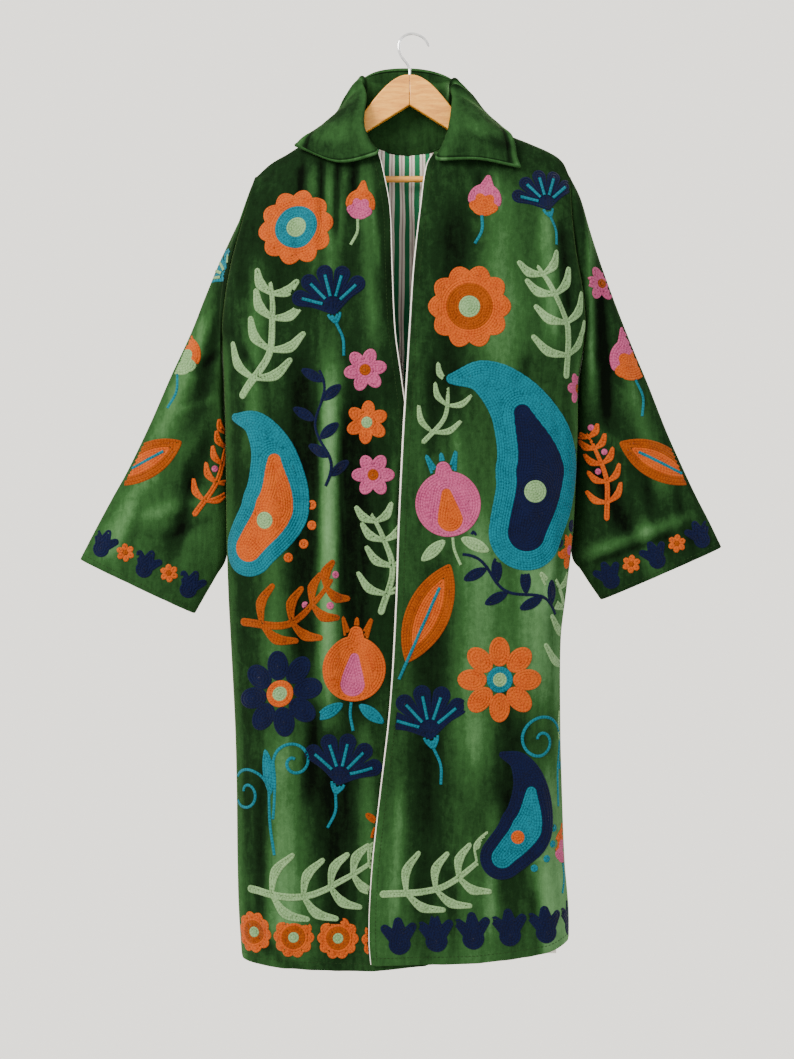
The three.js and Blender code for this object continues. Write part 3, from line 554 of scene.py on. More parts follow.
def wood_material():
    """Beech, sawn and sanded, under a thin satin varnish: pale straw colour with fine brown flecks
    along the grain."""
    material, tree, output = new_material("varnished beech")
    place_in = tree.nodes.new("ShaderNodeTexCoord").outputs["Object"]
    along = add_node(tree, "ShaderNodeMapping", links={"Vector": place_in}, Scale=(9.0, 60.0, 60.0))
    grain = add_node(tree, "ShaderNodeTexNoise", links={"Vector": along.outputs[0]},
                     Scale=3.2, Detail=7.0, Roughness=0.6, Distortion=0.8)
    flecks = add_node(tree, "ShaderNodeTexNoise", links={"Vector": along.outputs[0]},
                      Scale=16.0, Detail=2.0, Roughness=0.7)
    total = add_node(tree, "ShaderNodeMath", {"operation": "MULTIPLY_ADD"},
                     {0: flecks.outputs[0], 2: grain.outputs[0]}, i1=0.35)
    colour = ramp(tree, total.outputs[0], [(0.42, "#925a12"), (0.62, "#b07218"), (0.86, "#c48b2e")])
    bump = add_node(tree, "ShaderNodeBump", links={"Height": total.outputs[0]}, Strength=0.08, Distance=0.0004)
    finish_material(tree, output, colour, bump.outputs[0], Roughness=0.42, Coat_Weight=0.15,
                    Coat_Roughness=0.25)
    return material


def chrome_material():
    """Bright chrome plating on bent steel wire, polished, with faint handling marks."""
    material, tree, output = new_material("chromed steel wire")
    place_in = tree.nodes.new("ShaderNodeTexCoord").outputs["Object"]
    marks = add_node(tree, "ShaderNodeTexNoise", links={"Vector": place_in}, Scale=240.0, Detail=3.0)
    colour = ramp(tree, marks.outputs[0], [(0.3, "#b9bcc0"), (0.7, "#d9dbdd")])
    bump = add_node(tree, "ShaderNodeBump", links={"Height": marks.outputs[0]}, Strength=0.05, Distance=0.0002)
    finish_material(tree, output, colour, bump.outputs[0], Metallic=1.0, Roughness=0.16)
    return material


def white_cotton_material():
    """Bias-cut white cotton, plain weave, soft and matte."""
    material, tree, output = new_material("white cotton piping")
    place_in = tree.nodes.new("ShaderNodeTexCoord").outputs["Object"]
    weave = add_node(tree, "ShaderNodeTexNoise", links={"Vector": place_in}, Scale=420.0, Detail=3.0)
    colour = ramp(tree, weave.outputs[0], [(0.3, "#aeaba4"), (0.7, "#c5c3bd")])
    bump = add_node(tree, "ShaderNodeBump", links={"Height": weave.outputs[0]}, Strength=0.3, Distance=0.0005)
    finish_material(tree, output, colour, bump.outputs[0], Roughness=0.85, Sheen_Weight=0.1)
    return material


def stage_material():
    """Matte emulsion paint, pale warm grey."""
    material, tree, output = new_material("pale matte paint")
    place_in = tree.nodes.new("ShaderNodeTexCoord").outputs["Object"]
    cloud = add_node(tree, "ShaderNodeTexNoise", links={"Vector": place_in}, Scale=3.0, Detail=3.0)
    colour = ramp(tree, cloud.outputs[0], [(0.3, "#dcd9d3"), (0.7, "#e2dfda")])
    finish_material(tree, output, colour, None, Roughness=0.9)
    return material


VELVET = velvet_material("green cotton velvet", "#010401", "#0a1b0a", "#1e3a1c", "#547850")
LINING = lining_material()
WOOD = wood_material()
CHROME = chrome_material()
WHITE = white_cotton_material()
THREADS = {
    "teal": thread_material("teal cotton thread", "#002932", "#00505e"),
    "navy": thread_material("navy cotton thread", "#00010c", "#010724"),
    "coral": thread_material("coral cotton thread", "#641800", "#8d3e0c"),
    "orange": thread_material("orange cotton thread", "#481400", "#6e3000"),
    "pink": thread_material("pink cotton thread", "#5c1536", "#863b5b"),
    "mint": thread_material("mint cotton thread", "#36532f", "#607b56"),
    "green": thread_material("green sewing thread", "#071704", "#1a3011"),
}


# ------------------------------------------------------------------ panels
def spread(n, power):
    return (np.arange(n + 1) / n) ** power


SHOULDER_COLUMNS = 9


def front_columns(side, per_column):
    """Column positions; every per_column-th one is a column of the solid."""
    top = float(side_x(side, SHOULDER_TIP_Z))
    neck = (NECK_POINT[side] - top) / (FRONT_CORNER[side][0] - top)
    coarse = np.concatenate([spread(SHOULDER_COLUMNS, 1.25) * neck, mix(neck, 1, spread(3, 1.6)[1:])])
    return refine(coarse, per_column)


def back_columns(per_column):
    start = float(side_x("right", SHOULDER_TIP_Z))
    width = float(side_x("left", SHOULDER_TIP_Z)) - start
    first = (NECK_POINT["right"] - start) / width
    second = (NECK_POINT["left"] - start) / width
    neck = mix(first, second, (1 - np.cos(np.pi * np.arange(1, 9) / 8)) / 2)
    shoulder = spread(7, 1.25)
    coarse = np.concatenate([shoulder * first, neck, (1 - shoulder * (1 - second))[::-1][1:]])
    return refine(coarse, per_column)


def refine(coarse, per_column):
    at = np.arange((len(coarse) - 1) * per_column + 1) / per_column
    return np.interp(at, np.arange(len(coarse)), coarse)


PER_COLUMN = 5
SEAM_ALLOWANCE = 14.0  # velvet turned in beside the side seams
PANEL_ROWS = refine(spread(31, 1.5), 7)


def panel_x(name, across, z):
    """The x of a place across a panel, which is 0 at its side seam (the back's right one)."""
    if name == "back":
        return mix(side_x("right", z), side_x("left", z), across)
    return mix(side_x(name, z), edge_x(name, z), across)


def panel_grid(name, per_column=PER_COLUMN):
    """Points and normals of a panel's outer face, and which way along Y it looks."""
    if name == "back":
        across = back_columns(per_column)
        top_x = panel_x(name, across, SHOULDER_TIP_Z)
        in_neck = (top_x > NECK_POINT["right"]) & (top_x < NECK_POINT["left"])
        top_z = np.where(in_neck, back_neck_z(top_x), shoulder_z(top_x))
        surface, outward = back_y, 1
    else:
        across = front_columns(name, per_column)
        top_x = mix(side_x(name, SHOULDER_TIP_Z), FRONT_CORNER[name][0], across)
        on_shoulder = np.abs(top_x) >= abs(NECK_POINT[name]) - 1e-6
        top_z = np.where(on_shoulder, shoulder_z(top_x), front_neck_z(name, top_x))
        surface, outward = (front_y if name == "left" else under_front_y), -1
    hem_z = read(HEMS[name], "x", "z", panel_x(name, across, HEM_Z))
    down = PANEL_ROWS[:, None]
    z = mix(top_z[None, :], hem_z[None, :], down)
    x = panel_x(name, across[None, :], z)
    y = surface(x, z)
    normal = surface_normal(surface, outward, x, z)
    return np.stack([x, y, z], -1), normal, outward


def clear_of_seam(points, outward):
    points = points.copy()
    points[..., 1] = outward * np.maximum(outward * points[..., 1], SEAM / 2)
    return points


def cloth_uv(points):
    """Places on a panel as seen from the front, in metres."""
    return np.stack([points[..., 0], points[..., 2]], -1) / METRE


# How much lighter or darker each panel is on the whole, from its top to its hem, and how much painted light and
# shade its folds get: lighter on ridges, darker in troughs.
NAP_HEIGHTS = (250, 600, 1000, 1200)
PANEL_NAP = {"left": (-0.03, 0.03, 0.01, 0.11), "right": (-0.06, -0.05, -0.05, 0.03), "back": (0, 0, 0, 0.05)}
FOLD_PAINTED_SHADING = {"left": 0.036, "right": 0.036, "back": 0.02}
CREASE_PAINTED_SHADING = 2.6                         # how much more painted light and shade a fine crease gets than a fold
SIDE_PAINTED_SHEEN, SIDE_PAINTED_SHEEN_WIDTH = 0.10, 6.0   # painted sheen: the velvet is painted paler in a band along the side seams, where the cloth turns edge-on
PANEL_NAP_AND_SHADING_RANGE = (-0.15, 0.36)


def nap_and_shading_of(points, name):
    """Painted light and shade on a panel's velvet: lighter on fold ridges and darker in troughs, a painted
    sheen along the side seams, and each panel's overall tone from its top to its hem.
    """
    x, z = points[..., 0], points[..., 2]
    face = FACES["back" if name == "back" else "front"]
    # Painted light and shade on the folds: ridges lighter, troughs darker.
    folds = fold_height(face["folds"], x, z) + CREASE_PAINTED_SHADING * fold_height(face["fine"], x, z)
    to_side = np.minimum(x - side_x("right", z), side_x("left", z) - x)
    # Painted sheen in a band along each side seam, below the underarm, where the cloth turns edge-on.
    side_sheen = SIDE_PAINTED_SHEEN * np.exp(-((to_side - SIDE_PAINTED_SHEEN_WIDTH) / SIDE_PAINTED_SHEEN_WIDTH) ** 2)
    side_sheen = side_sheen * smoothstep(z, UNDERARM_Z + 20, UNDERARM_Z - 40)
    brushed = np.interp(-z, NAP_HEIGHTS, PANEL_NAP[name])
    return np.clip(brushed + FOLD_PAINTED_SHADING[name] * folds + side_sheen, *PANEL_NAP_AND_SHADING_RANGE)


def make_panel(name, node):
    points, normal, outward = panel_grid(name)
    outer = clear_of_seam(points, outward)
    inner = clear_of_seam(points - WALL * normal, outward)
    uvs = cloth_uv(points)
    nap_and_shading = nap_and_shading_of(points, name)
    flip = name != "right"
    rolls = (0.0, 1.6, 0.0, 0.0) if name == "back" else (0.0, 1.6, 0.0, 1.4)
    turned_in = np.minimum(outer[..., 0] - side_x("right", outer[..., 2]),
                           side_x("left", outer[..., 2]) - outer[..., 0]) < SEAM_ALLOWANCE
    lined = ~turned_in[:-1, :-1] & ~turned_in[1:, 1:]
    obj = cloth_wall(node + "_cloth", outer, inner, [VELVET, LINING], rolls, flip, lined, uvs, nap_and_shading)
    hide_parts(node)
    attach(obj, "root")
    return obj


LINING_COLUMNS = (8, 14)  # the solid's columns between which the lining shows
LINING_ROWS = slice(3, -7)


def make_back_lining():
    """The lining where it shows through the open neck, hung just inside the back."""
    points, normal, _ = panel_grid("back")
    first, last = LINING_COLUMNS[0] * PER_COLUMN, LINING_COLUMNS[1] * PER_COLUMN
    shown = (LINING_ROWS, slice(first, last + 1))
    points, normal = points[shown], normal[shown]
    depth = WALL + SEAM
    front = points - (depth + LINING_WALL) * normal
    behind = points - depth * normal
    uvs = cloth_uv(points)
    lined = np.zeros((front.shape[0] - 1, front.shape[1] - 1), bool)
    obj = cloth_wall("back_lining_cloth", behind, front, [LINING], (0.0, 0.0, 0.0, 0.0), True, lined,
                     uvs, np.zeros(uvs.shape[:2]))
    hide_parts("back_lining")
    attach(obj, "root")
    return obj


# ------------------------------------------------------------------ sleeves
def signed_power(value, power):
    return np.sign(value) * np.abs(value) ** power


def sleeve_at(side, column, t):
    return read(SLEEVES[side], "at", column, t)


def sleeve_spot(side, t, chord):
    """Where a place on the sleeve's middle plane lies in the front view."""
    bow = sleeve_at(side, "bow", t) * 4 * chord * (1 - chord)
    x = mix(sleeve_at(side, "outer_x", t), sleeve_at(side, "inner_x", t), chord) + bow
    return x, mix(sleeve_at(side, "outer_z", t), sleeve_at(side, "inner_z", t), chord)


def sleeve_points(side, t, turn):
    angle = turn * 2 * np.pi
    chord = (1 - signed_power(np.cos(angle), 2 / ROUND)) / 2
    deep = signed_power(np.sin(angle), 2 / ROUND)
    x, z = sleeve_spot(side, t, chord)
    outward = 1 if side == "left" else -1
    x = np.where(t == 0, side_x(side, z) + outward * ARMHOLE_GAP, x)
    height = fold_height(SLEEVE_FOLDS[side], x, z) + fold_height(SLEEVE_CREASES[side], x, z)
    height = height + 0.8 * ripple(x, z, 17 if side == "left" else 23)
    fold = height * smoothstep(t, 0, 0.15) * deep * deep
    depth = np.where(deep > 0, sleeve_at(side, "front", t) * deep + fold,
                     sleeve_at(side, "back", t) * deep - fold / 2)
    return np.stack([x, sleeve_at(side, "y", t) - depth, z], -1)


def sleeve_normals(side, t, turn):
    step = 0.004
    at = np.clip(t, 2 * step, 1 - step)
    around = sleeve_points(side, at, turn + step) - sleeve_points(side, at, turn - step)
    down = sleeve_points(side, at + step, turn) - sleeve_points(side, at - step, turn)
    normal = np.cross(around, down) * (1 if side == "left" else -1)
    normal[..., 0] = np.where(t == 0, 0, normal[..., 0])
    return unit(normal)


SLEEVE_RINGS, SLEEVE_SIDES = 120, 112
SLEEVE_NAP = {"right": 0.05, "left": -0.04}
SLEEVE_FOLD_PAINTED_SHADING, SLEEVE_CREASE_PAINTED_SHADING = 0.036, 1.6  # painted light and shade on the folds, and how much more of it a crease gets
SLEEVE_NAP_AND_SHADING_RANGE = (-0.2, 0.3)


def make_sleeve(side):
    t = spread(SLEEVE_RINGS, 1.1)[:, None] * np.ones((1, SLEEVE_SIDES))
    turn = np.arange(SLEEVE_SIDES)[None, :] / SLEEVE_SIDES * np.ones((SLEEVE_RINGS + 1, 1))
    outer = sleeve_points(side, t, turn)
    inner = outer - WALL * sleeve_normals(side, t, turn)
    uvs = np.stack([np.abs(turn - 0.5) * SLEEVE_GIRTH, t * SLEEVE_LENGTH], -1) / METRE
    # Painted light and shade on the sleeves: lighter on fold ridges, darker in troughs, plus an overall tone
    # for each sleeve.
    folds = fold_height(SLEEVE_FOLDS[side], outer[..., 0], outer[..., 2])
    folds = folds + SLEEVE_CREASE_PAINTED_SHADING * fold_height(SLEEVE_CREASES[side], outer[..., 0], outer[..., 2])
    facing = np.sign(np.sin(turn * 2 * np.pi))  # the folds are given on the front; the back has the reverse, so the painted light and shade flips there
    nap_and_shading = np.clip(SLEEVE_FOLD_PAINTED_SHADING * folds * facing + SLEEVE_NAP[side], *SLEEVE_NAP_AND_SHADING_RANGE)
    lined = np.ones((SLEEVE_RINGS, SLEEVE_SIDES), bool)
    lined[: SLEEVE_RINGS // 2] = False
    obj = cloth_wall(side + "_sleeve_cloth", outer, inner, [VELVET, LINING], (0.0, 1.6), side == "right",
                     lined, uvs, nap_and_shading, wrap=True)
    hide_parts(side + "_sleeve")
    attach(obj, "root")
    return obj


# ------------------------------------------------------------------ collar
def catmull_rom(points, t):
    """Uniform Catmull-Rom through points (n, ..., 3), read at t from 0 to 1 (array)."""
    points = np.asarray(points, float)
    ends = np.concatenate([2 * points[:1] - points[1:2], points, 2 * points[-1:] - points[-2:-1]])
    spans = len(points) - 1
    at = np.clip(np.asarray(t, float) * spans, 0, spans)
    i = np.minimum(at.astype(int), spans - 1)
    f = (at - i).reshape((-1,) + (1,) * (points.ndim - 1))
    a, b, c, d = ends[i], ends[i + 1], ends[i + 2], ends[i + 3]
    return 0.5 * (2 * b + (c - a) * f + (2 * a - 5 * b + 4 * c - d) * f ** 2 + (3 * b - a - 3 * c + d) * f ** 3)


def straight_line(points, t):
    points = np.asarray(points, float)
    at = np.clip(np.asarray(t) * (len(points) - 1), 0, len(points) - 1)
    i = np.minimum(at.astype(int), len(points) - 2)
    f = (at - i)[:, None]
    return points[i] * (1 - f) + points[i + 1] * f


def neck_seams():
    """Points and normals where the collar meets the top edges of the panels."""
    grids = {name: panel_grid(name, 1) for name in ("left", "right", "back")}
    seam, normals = [], []
    for panel, column, *_ in COLLAR_ROWS:
        points, normal, outward = grids[panel]
        face = clear_of_seam(points[0, column], outward)
        lining = clear_of_seam(points[0, column] - WALL * normal[0, column], outward)
        n, p = face - lining, (face + lining) / 2
        if panel != "back" and column == SHOULDER_COLUMNS:
            n[1] = p[1] = 0
        n = unit(n)
        centre = np.array([0, p[1], NECK_POINT_Z + 60]) - p
        away = unit(centre - n * np.dot(centre, n))
        seam.append(p + 2 * SEAM * away)
        normals.append(n)
    return np.array(seam), np.array(normals)


COLLAR_STATIONS, COLLAR_ACROSS = 196, 60
GROOVE_WIDTH, GROOVE_DEPTH = 1.5, 0.42  # the stitching's groove, in mm and as a share of the thickness
# Crumples where the collar turns over beside the neck: station, place across it, widths, rise.
COLLAR_CRUMPLES = [
    (0.615, 0.52, 0.012, 0.22, 4.5), (0.640, 0.50, 0.010, 0.20, -3.8), (0.662, 0.56, 0.012, 0.24, 4.0),
    (0.690, 0.52, 0.012, 0.18, -2.6), (0.350, 0.55, 0.014, 0.20, 2.6), (0.372, 0.50, 0.012, 0.18, -2.4),
    (0.300, 0.75, 0.020, 0.18, 1.6), (0.740, 0.74, 0.022, 0.20, 1.8), (0.860, 0.72, 0.030, 0.14, 2.0),
    (0.120, 0.72, 0.030, 0.14, 1.8), (0.200, 0.80, 0.022, 0.18, -1.5), (0.900, 0.86, 0.020, 0.20, -1.2),
    (0.500, 0.30, 0.060, 0.10, 1.2), (0.440, 0.45, 0.020, 0.20, -1.2), (0.560, 0.42, 0.018, 0.20, 1.2)]


def collar_surface(t, v):
    """The collar's middle: t goes along the seam, v from the seam over the fold to the edge."""
    seam, _ = neck_seams()
    lines = [straight_line(seam, t)]
    for column in zip(*(row[2:] for row in COLLAR_ROWS)):
        lines.append(catmull_rom(column, t))
    return np.swapaxes(catmull_rom(np.array(lines), v), 0, 1)


def make_collar():
    """The collar as one closed wall of velvet. Also returns its middle surface and the normals there."""
    t = np.linspace(0, 1, COLLAR_STATIONS + 1)
    v = np.linspace(0, 1, COLLAR_ACROSS + 1)
    middle = collar_surface(t, v)
    along = np.gradient(middle, axis=0)
    across = np.gradient(middle, axis=1)
    normal = -unit(np.cross(along, across))
    seam_normals = unit(straight_line(neck_seams()[1], t))
    blend = np.clip(v / 0.06, 0, 1)[None, :, None]
    normal = unit(mix(seam_normals[:, None, :] * np.ones_like(normal), normal, blend))
    rise = np.zeros(middle.shape[:2])
    for st, sv, wt, wv, height in COLLAR_CRUMPLES:
        rise += height * np.exp(-((t[:, None] - st) / wt) ** 2 - ((v[None, :] - sv) / wv) ** 2)
    rise *= smoothstep(v, 0.08, 0.3)[None, :]
    middle = middle + normal * rise[..., None]
    # The two layers are sewn together along the topstitching, and puff slightly beside it.
    to_edge = np.minimum((1 - v)[None, :] * COLLAR_DEPTH, np.minimum(t, 1 - t)[:, None] * COLLAR_LENGTH)
    groove = np.exp(-((to_edge - TOPSTITCH_INSET) / GROOVE_WIDTH) ** 2)
    puff = 1 - GROOVE_DEPTH * groove
    half = (COLLAR_WALL / 2 * puff)[..., None]
    uvs = np.stack(np.meshgrid(t * COLLAR_LENGTH, v * COLLAR_DEPTH, indexing="ij"), -1) / METRE
    # Painted light and shade on the collar's velvet: lighter on its rolled edges, along the line where it turns
    # over and on the crumples' rises; darker in the crumples' dips and in the stitching's groove.
    rolled_edge_highlight = np.exp(-(np.minimum(to_edge - 2, 0) / 2.5) ** 2 - (np.maximum(to_edge - 2, 0) / 2) ** 2)
    turned = smoothstep(np.abs(v - 0.52)[None, :] * np.ones_like(rise), 0.1, 0.0)
    nap_and_shading = np.clip(0.05 * rise + 0.06 * turned + 0.14 * rolled_edge_highlight - 0.16 * groove, -0.3, 0.3)
    lined = np.zeros((COLLAR_STATIONS, COLLAR_ACROSS), bool)
    obj = cloth_wall("collar_cloth", middle - normal * half, middle + normal * half, [VELVET],
                     (1.6, 1.6, 0.5, 1.6), False, lined, uvs, nap_and_shading)
    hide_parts("collar")
    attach(obj, "root")
    return obj, middle, normal


# ------------------------------------------------------------------ trims and the hanger
def tube(name, path, radius, sides, material, reference=(0.0, 1.0, 0.0)):
    """A round tube along a dense path of points, with domed ends."""
    path = np.asarray(path, float)
    tangent = unit(np.gradient(path, axis=0))
    side = unit(np.cross(tangent, reference))
    up = np.cross(side, tangent)
    radii = np.interp(np.linspace(0, 1, len(path)), np.linspace(0, 1, np.size(radius)), np.ravel(radius))
    points = []
    rings = [(path[0] - tangent[0] * radii[0] * 0.7, 0.45, 0)]
    rings += [(p, 1.0, i) for i, p in enumerate(path)]
    rings.append((path[-1] + tangent[-1] * radii[-1] * 0.7, 0.45, len(path) - 1))
    angle = 2 * np.pi * np.arange(sides) / sides
    for centre, scale, i in rings:
        ring = np.cos(angle)[:, None] * side[i] + np.sin(angle)[:, None] * up[i]
        points.append(centre + ring * radii[i] * scale)
    faces = grid_faces(len(rings), sides, 0, True, False).tolist()
    last = (len(rings) - 1) * sides
    faces.append(list(range(sides)))
    faces.append([last + i for i in range(sides)][::-1])
    obj = make_mesh(name, np.concatenate(points), faces, [material])
    return fix_normals(obj)


def fix_normals(obj):
    """Turns the faces of a closed mesh outwards."""
    mesh = bmesh.new()
    mesh.from_mesh(obj.data)
    bmesh.ops.recalc_face_normals(mesh, faces=mesh.faces)
    mesh.to_mesh(obj.data)
    mesh.free()
    return obj


def make_piping(side):
    surface = front_y if side == "left" else under_front_y
    outward = -1 if side == "left" else 1
    foot = float(read(HEMS[side], "x", "z", edge_x(side, HEM_Z)))
    z = np.linspace(FRONT_CORNER[side][1] - 3, foot + 1, 260)
    x = edge_x(side, z)
    thick = np.interp(np.linspace(0, 3, len(z)), (0, 1, 2, 3), PIPING_RADIUS[side])
    path = np.stack([x + outward * (thick + 1.2), surface(x, z) + WALL / 2, z], -1)
    node = side + "_front_piping"
    obj = tube(node + "_cotton", path, PIPING_RADIUS[side], 10, WHITE)
    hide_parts(node)
    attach(obj, "root")


SEAM_ROLL = 2.3  # mm


def make_neck_seam():
    """The turned-in edges of the collar, a narrow velvet roll along the neck seam."""
    seam, normals = neck_seams()
    t = np.linspace(0.004, 0.996, 320)
    roll = tube("neck_seam_roll", straight_line(seam, t), SEAM_ROLL, 12, VELVET,
                reference=unit(straight_line(normals, t)))
    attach(roll, "root")


HOOK_LINE = [(0, HOOK_ROOT_Z), (0, -58), (0, -46), (-3, -38), (-11.5, -27), (-14.5, -16), (-12.5, -7),
             (-5, 0), (5, HOOK_RADIUS), (15, -1.5), (21.5, -7), (25.5, -14)]


def make_hook():
    line = np.array([(x, 0.0, z) for x, z in HOOK_LINE])
    path = catmull_rom(line, np.linspace(0, 1, 160))
    obj = tube("hanger_hook_wire", path, HOOK_RADIUS, 16, CHROME)
    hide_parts("hanger_hook")
    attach(obj, "root")


WOOD_TOP = [(0, -53), (12, -55.2), (26, -63.5), (41, -78.5), (58, -99.5), (66, -110), (80, -121), (107, -137),
            (150, -164), (185, -186)]
WOOD_TIP = [(193, -190), (198, -194), (200, -199.5), (198, -203.5), (193, -205)]
WOOD_UNDER = [(185, -203), (120, -166), (62, -132), (1.2, -94), (0, -93.4)]
WOOD_BEVEL = 1.6
CENTRE_JOINT = 0.35  # the two halves meet in an open line this wide


def make_hanger_half(side):
    """One half of the hanger's arms, cut from a board, with rounded edges."""
    top = catmull_rom([(x, 0, z) for x, z in WOOD_TOP], np.linspace(0, 1, 60))[:, [0, 2]]
    outline = np.concatenate([top, WOOD_TIP, WOOD_UNDER])
    outline[:, 0] = np.maximum(outline[:, 0], CENTRE_JOINT / 2)
    onward = unit(np.roll(outline, -1, 0) - outline)
    normal = np.stack([onward[:, 1], -onward[:, 0]], -1)
    inward = unit(normal + np.roll(normal, 1, 0))
    rings = []
    for angle in np.radians((0, 22, 45, 68, 90)):
        depth = WOOD_HALF - WOOD_BEVEL + WOOD_BEVEL * math.cos(angle)
        rings.append((depth, WOOD_BEVEL * (1 - math.sin(angle))))
    rings += [(-depth, inset) for depth, inset in rings[::-1]]
    points = []
    for depth, inset in rings:
        edge = outline + inward * inset
        edge[:, 0] = np.maximum(edge[:, 0], CENTRE_JOINT / 2)
        points.append(np.stack([side * edge[:, 0], np.full(len(edge), -depth), edge[:, 1]], -1))
    count = len(outline)
    faces = grid_faces(len(rings), count, 0, True, False).tolist()
    faces.append(list(range(count)))
    faces.append([(len(rings) - 1) * count + k for k in range(count)][::-1])
    return np.concatenate(points), faces


def dress_hanger():
    """The hanger's arms in two halves, joined on a line down the middle. The bar keeps its solid."""
    points, faces = [], []
    for side in (-1, 1):
        half_points, half_faces = make_hanger_half(side)
        faces += [[i + sum(map(len, points)) for i in face] for face in half_faces]
        points.append(half_points)
    obj = fix_normals(make_mesh("hanger_wood_arms", np.concatenate(points), faces, [WOOD]))
    mark_flat(obj)
    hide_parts("hanger_wood")
    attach(obj, "root")
    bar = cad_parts["hanger_bar"]
    bar.data.materials.clear()
    bar.data.materials.append(WOOD)


def mark_flat(obj):
    """Large faces stay flat; narrow ones on the rounded edges stay smooth."""
    for polygon in obj.data.polygons:
        polygon.use_smooth = len(polygon.vertices) == 4


def make_label():
    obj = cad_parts["label_tab"]
    obj.data.materials.clear()
    obj.data.materials.append(WHITE)


# ------------------------------------------------------------------ embroidery: where it lies
CHART_STEP = 2.0
CHART_HALF_X, CHART_HALF_ARC = 262.0, 330.0  # half the width of the cloth, straight and along it
TOP_CLEAR, EDGE_CLEAR, SIDE_CLEAR, HEM_CLEAR = 9.0, 6.0, 3.0, 5.0


def bilinear(grid, row, column):
    r = np.clip(row, 0, grid.shape[0] - 1.001)
    c = np.clip(column, 0, grid.shape[1] - 1.001)
    i, j = r.astype(int), c.astype(int)
    f, g = r - i, c - j
    upper = grid[i, j] * (1 - g) + grid[i, j + 1] * g
    lower = grid[i + 1, j] * (1 - g) + grid[i + 1, j + 1] * g
    return upper * (1 - f) + lower * f


def body_chart(name):
    """Maps distances across the cloth and heights, both in mm, to points and normals of a panel.
    The chart also tells which of the points lie on the field that carries embroidery."""
    face = "back" if name == "back" else "front"
    surface, outward = {"back": (back_y, 1), "left": (front_y, -1), "right": (under_front_y, -1)}[name]
    heights = np.arange(-100.0, HEM_Z - 20, -2 * CHART_STEP)
    x = np.arange(-CHART_HALF_X, CHART_HALF_X, CHART_STEP)
    y = section_depth(x[None, :], heights[:, None], face)
    steps = np.hypot(CHART_STEP, np.diff(y, axis=1))
    arc = np.concatenate([np.zeros((len(heights), 1)), np.cumsum(steps, 1)], 1)
    arc -= arc[:, [int(CHART_HALF_X / CHART_STEP)]]
    reach = np.arange(-CHART_HALF_ARC, CHART_HALF_ARC, CHART_STEP)
    across = np.array([np.interp(reach, row, x) for row in arc])

    def chart(p):
        u, z = p[:, 0], p[:, 1]
        at = bilinear(across, (heights[0] - z) / (2 * CHART_STEP), (u - reach[0]) / CHART_STEP)
        points = np.stack([at, surface(at, z), z], -1)
        normals = surface_normal(surface, outward, at, z)
        return points, normals, body_margin(name, at, z) > 0

    return chart


def body_margin(name, x, z):
    """How far inside a panel's embroidered field a point is, in mm."""
    sides = np.minimum(x - side_x("right", z), side_x("left", z) - x) - SIDE_CLEAR
    margin = np.minimum(sides, z - read(HEMS[name], "x", "z", x) - HEM_CLEAR)
    margin = np.minimum(margin, shoulder_z(x) - TOP_CLEAR - z)
    if name == "back":
        in_neck = (x > NECK_POINT["right"]) & (x < NECK_POINT["left"])
        return np.minimum(margin, np.where(in_neck, NECK_POINT_Z - BACK_NECK_DROP, 0) - TOP_CLEAR - z)
    if name == "left":
        return np.minimum(margin, x - edge_x("left", z) - EDGE_CLEAR)
    own = edge_x("right", z) - x - EDGE_CLEAR
    return np.minimum(margin, np.minimum(own, edge_x("left", z) - x - 3))


NEWTON_ROUNDS, NEWTON_STEP = 14, 0.01  # for finding the place on a sleeve that shows at a point


def sleeve_chart(side, back):
    """Maps places in the front view, in mm, to points and normals of a sleeve's front or back."""
    def chart(p):
        x, z = p[:, 0], p[:, 1]
        t, c = np.full(len(x), 0.6), np.full(len(x), 0.5)
        for _ in range(NEWTON_ROUNDS):
            sx, sz = sleeve_spot(side, t, c)
            tx, tz = sleeve_spot(side, t + NEWTON_STEP, c)
            cx, cz = sleeve_spot(side, t, c + NEWTON_STEP)
            a, b = (tx - sx) / NEWTON_STEP, (cx - sx) / NEWTON_STEP
            d, e = (tz - sz) / NEWTON_STEP, (cz - sz) / NEWTON_STEP
            det = a * e - b * d
            det = np.where(np.abs(det) < 1e-3, 1e-3, det)
            dt = ((x - sx) * e - (z - sz) * b) / det
            dc = ((z - sz) * a - (x - sx) * d) / det
            t = np.clip(t + np.clip(dt, -0.2, 0.2), 0, 1.03)
            c = np.clip(c + np.clip(dc, -0.2, 0.2), 0.0, 1.0)
        sx, sz = sleeve_spot(side, t, c)
        good = (np.hypot(sx - x, sz - z) < 1.0) & (t > 0.06) & (t < 0.985) & (c > 0.03) & (c < 0.97)
        across = 1 - 2 * c
        turn = np.arccos(signed_power(across, ROUND / 2)) / (2 * np.pi)
        turn = 1 - turn if back else turn
        t = np.clip(t, 0.01, 0.99)
        return sleeve_points(side, t, turn), sleeve_normals(side, t, turn), good

    return chart


# ------------------------------------------------------------------ embroidery: shapes
# Every shape is a distance in mm from its outline, less than nothing inside, in a motif's own
# coordinates.
def disc(x0, y0, r):
    return lambda x, y: np.hypot(x - x0, y - y0) - r


def limb(points, radii):
    """A tapering stroke along a smooth line."""
    count = 7 * (len(points) - 1) + 1
    line = catmull_rom(np.array(points, float), np.linspace(0, 1, count))
    thick = np.interp(np.linspace(0, 1, count), np.linspace(0, 1, len(radii)), radii)

    def field(x, y):
        best = np.full(x.shape, 1e9)
        for a, b, ra, rb in zip(line[:-1], line[1:], thick[:-1], thick[1:]):
            dx, dy = b - a
            t = np.clip(((x - a[0]) * dx + (y - a[1]) * dy) / max(dx * dx + dy * dy, 1e-9), 0, 1)
            best = np.minimum(best, np.hypot(x - a[0] - t * dx, y - a[1] - t * dy) - mix(ra, rb, t))
        return best

    return field


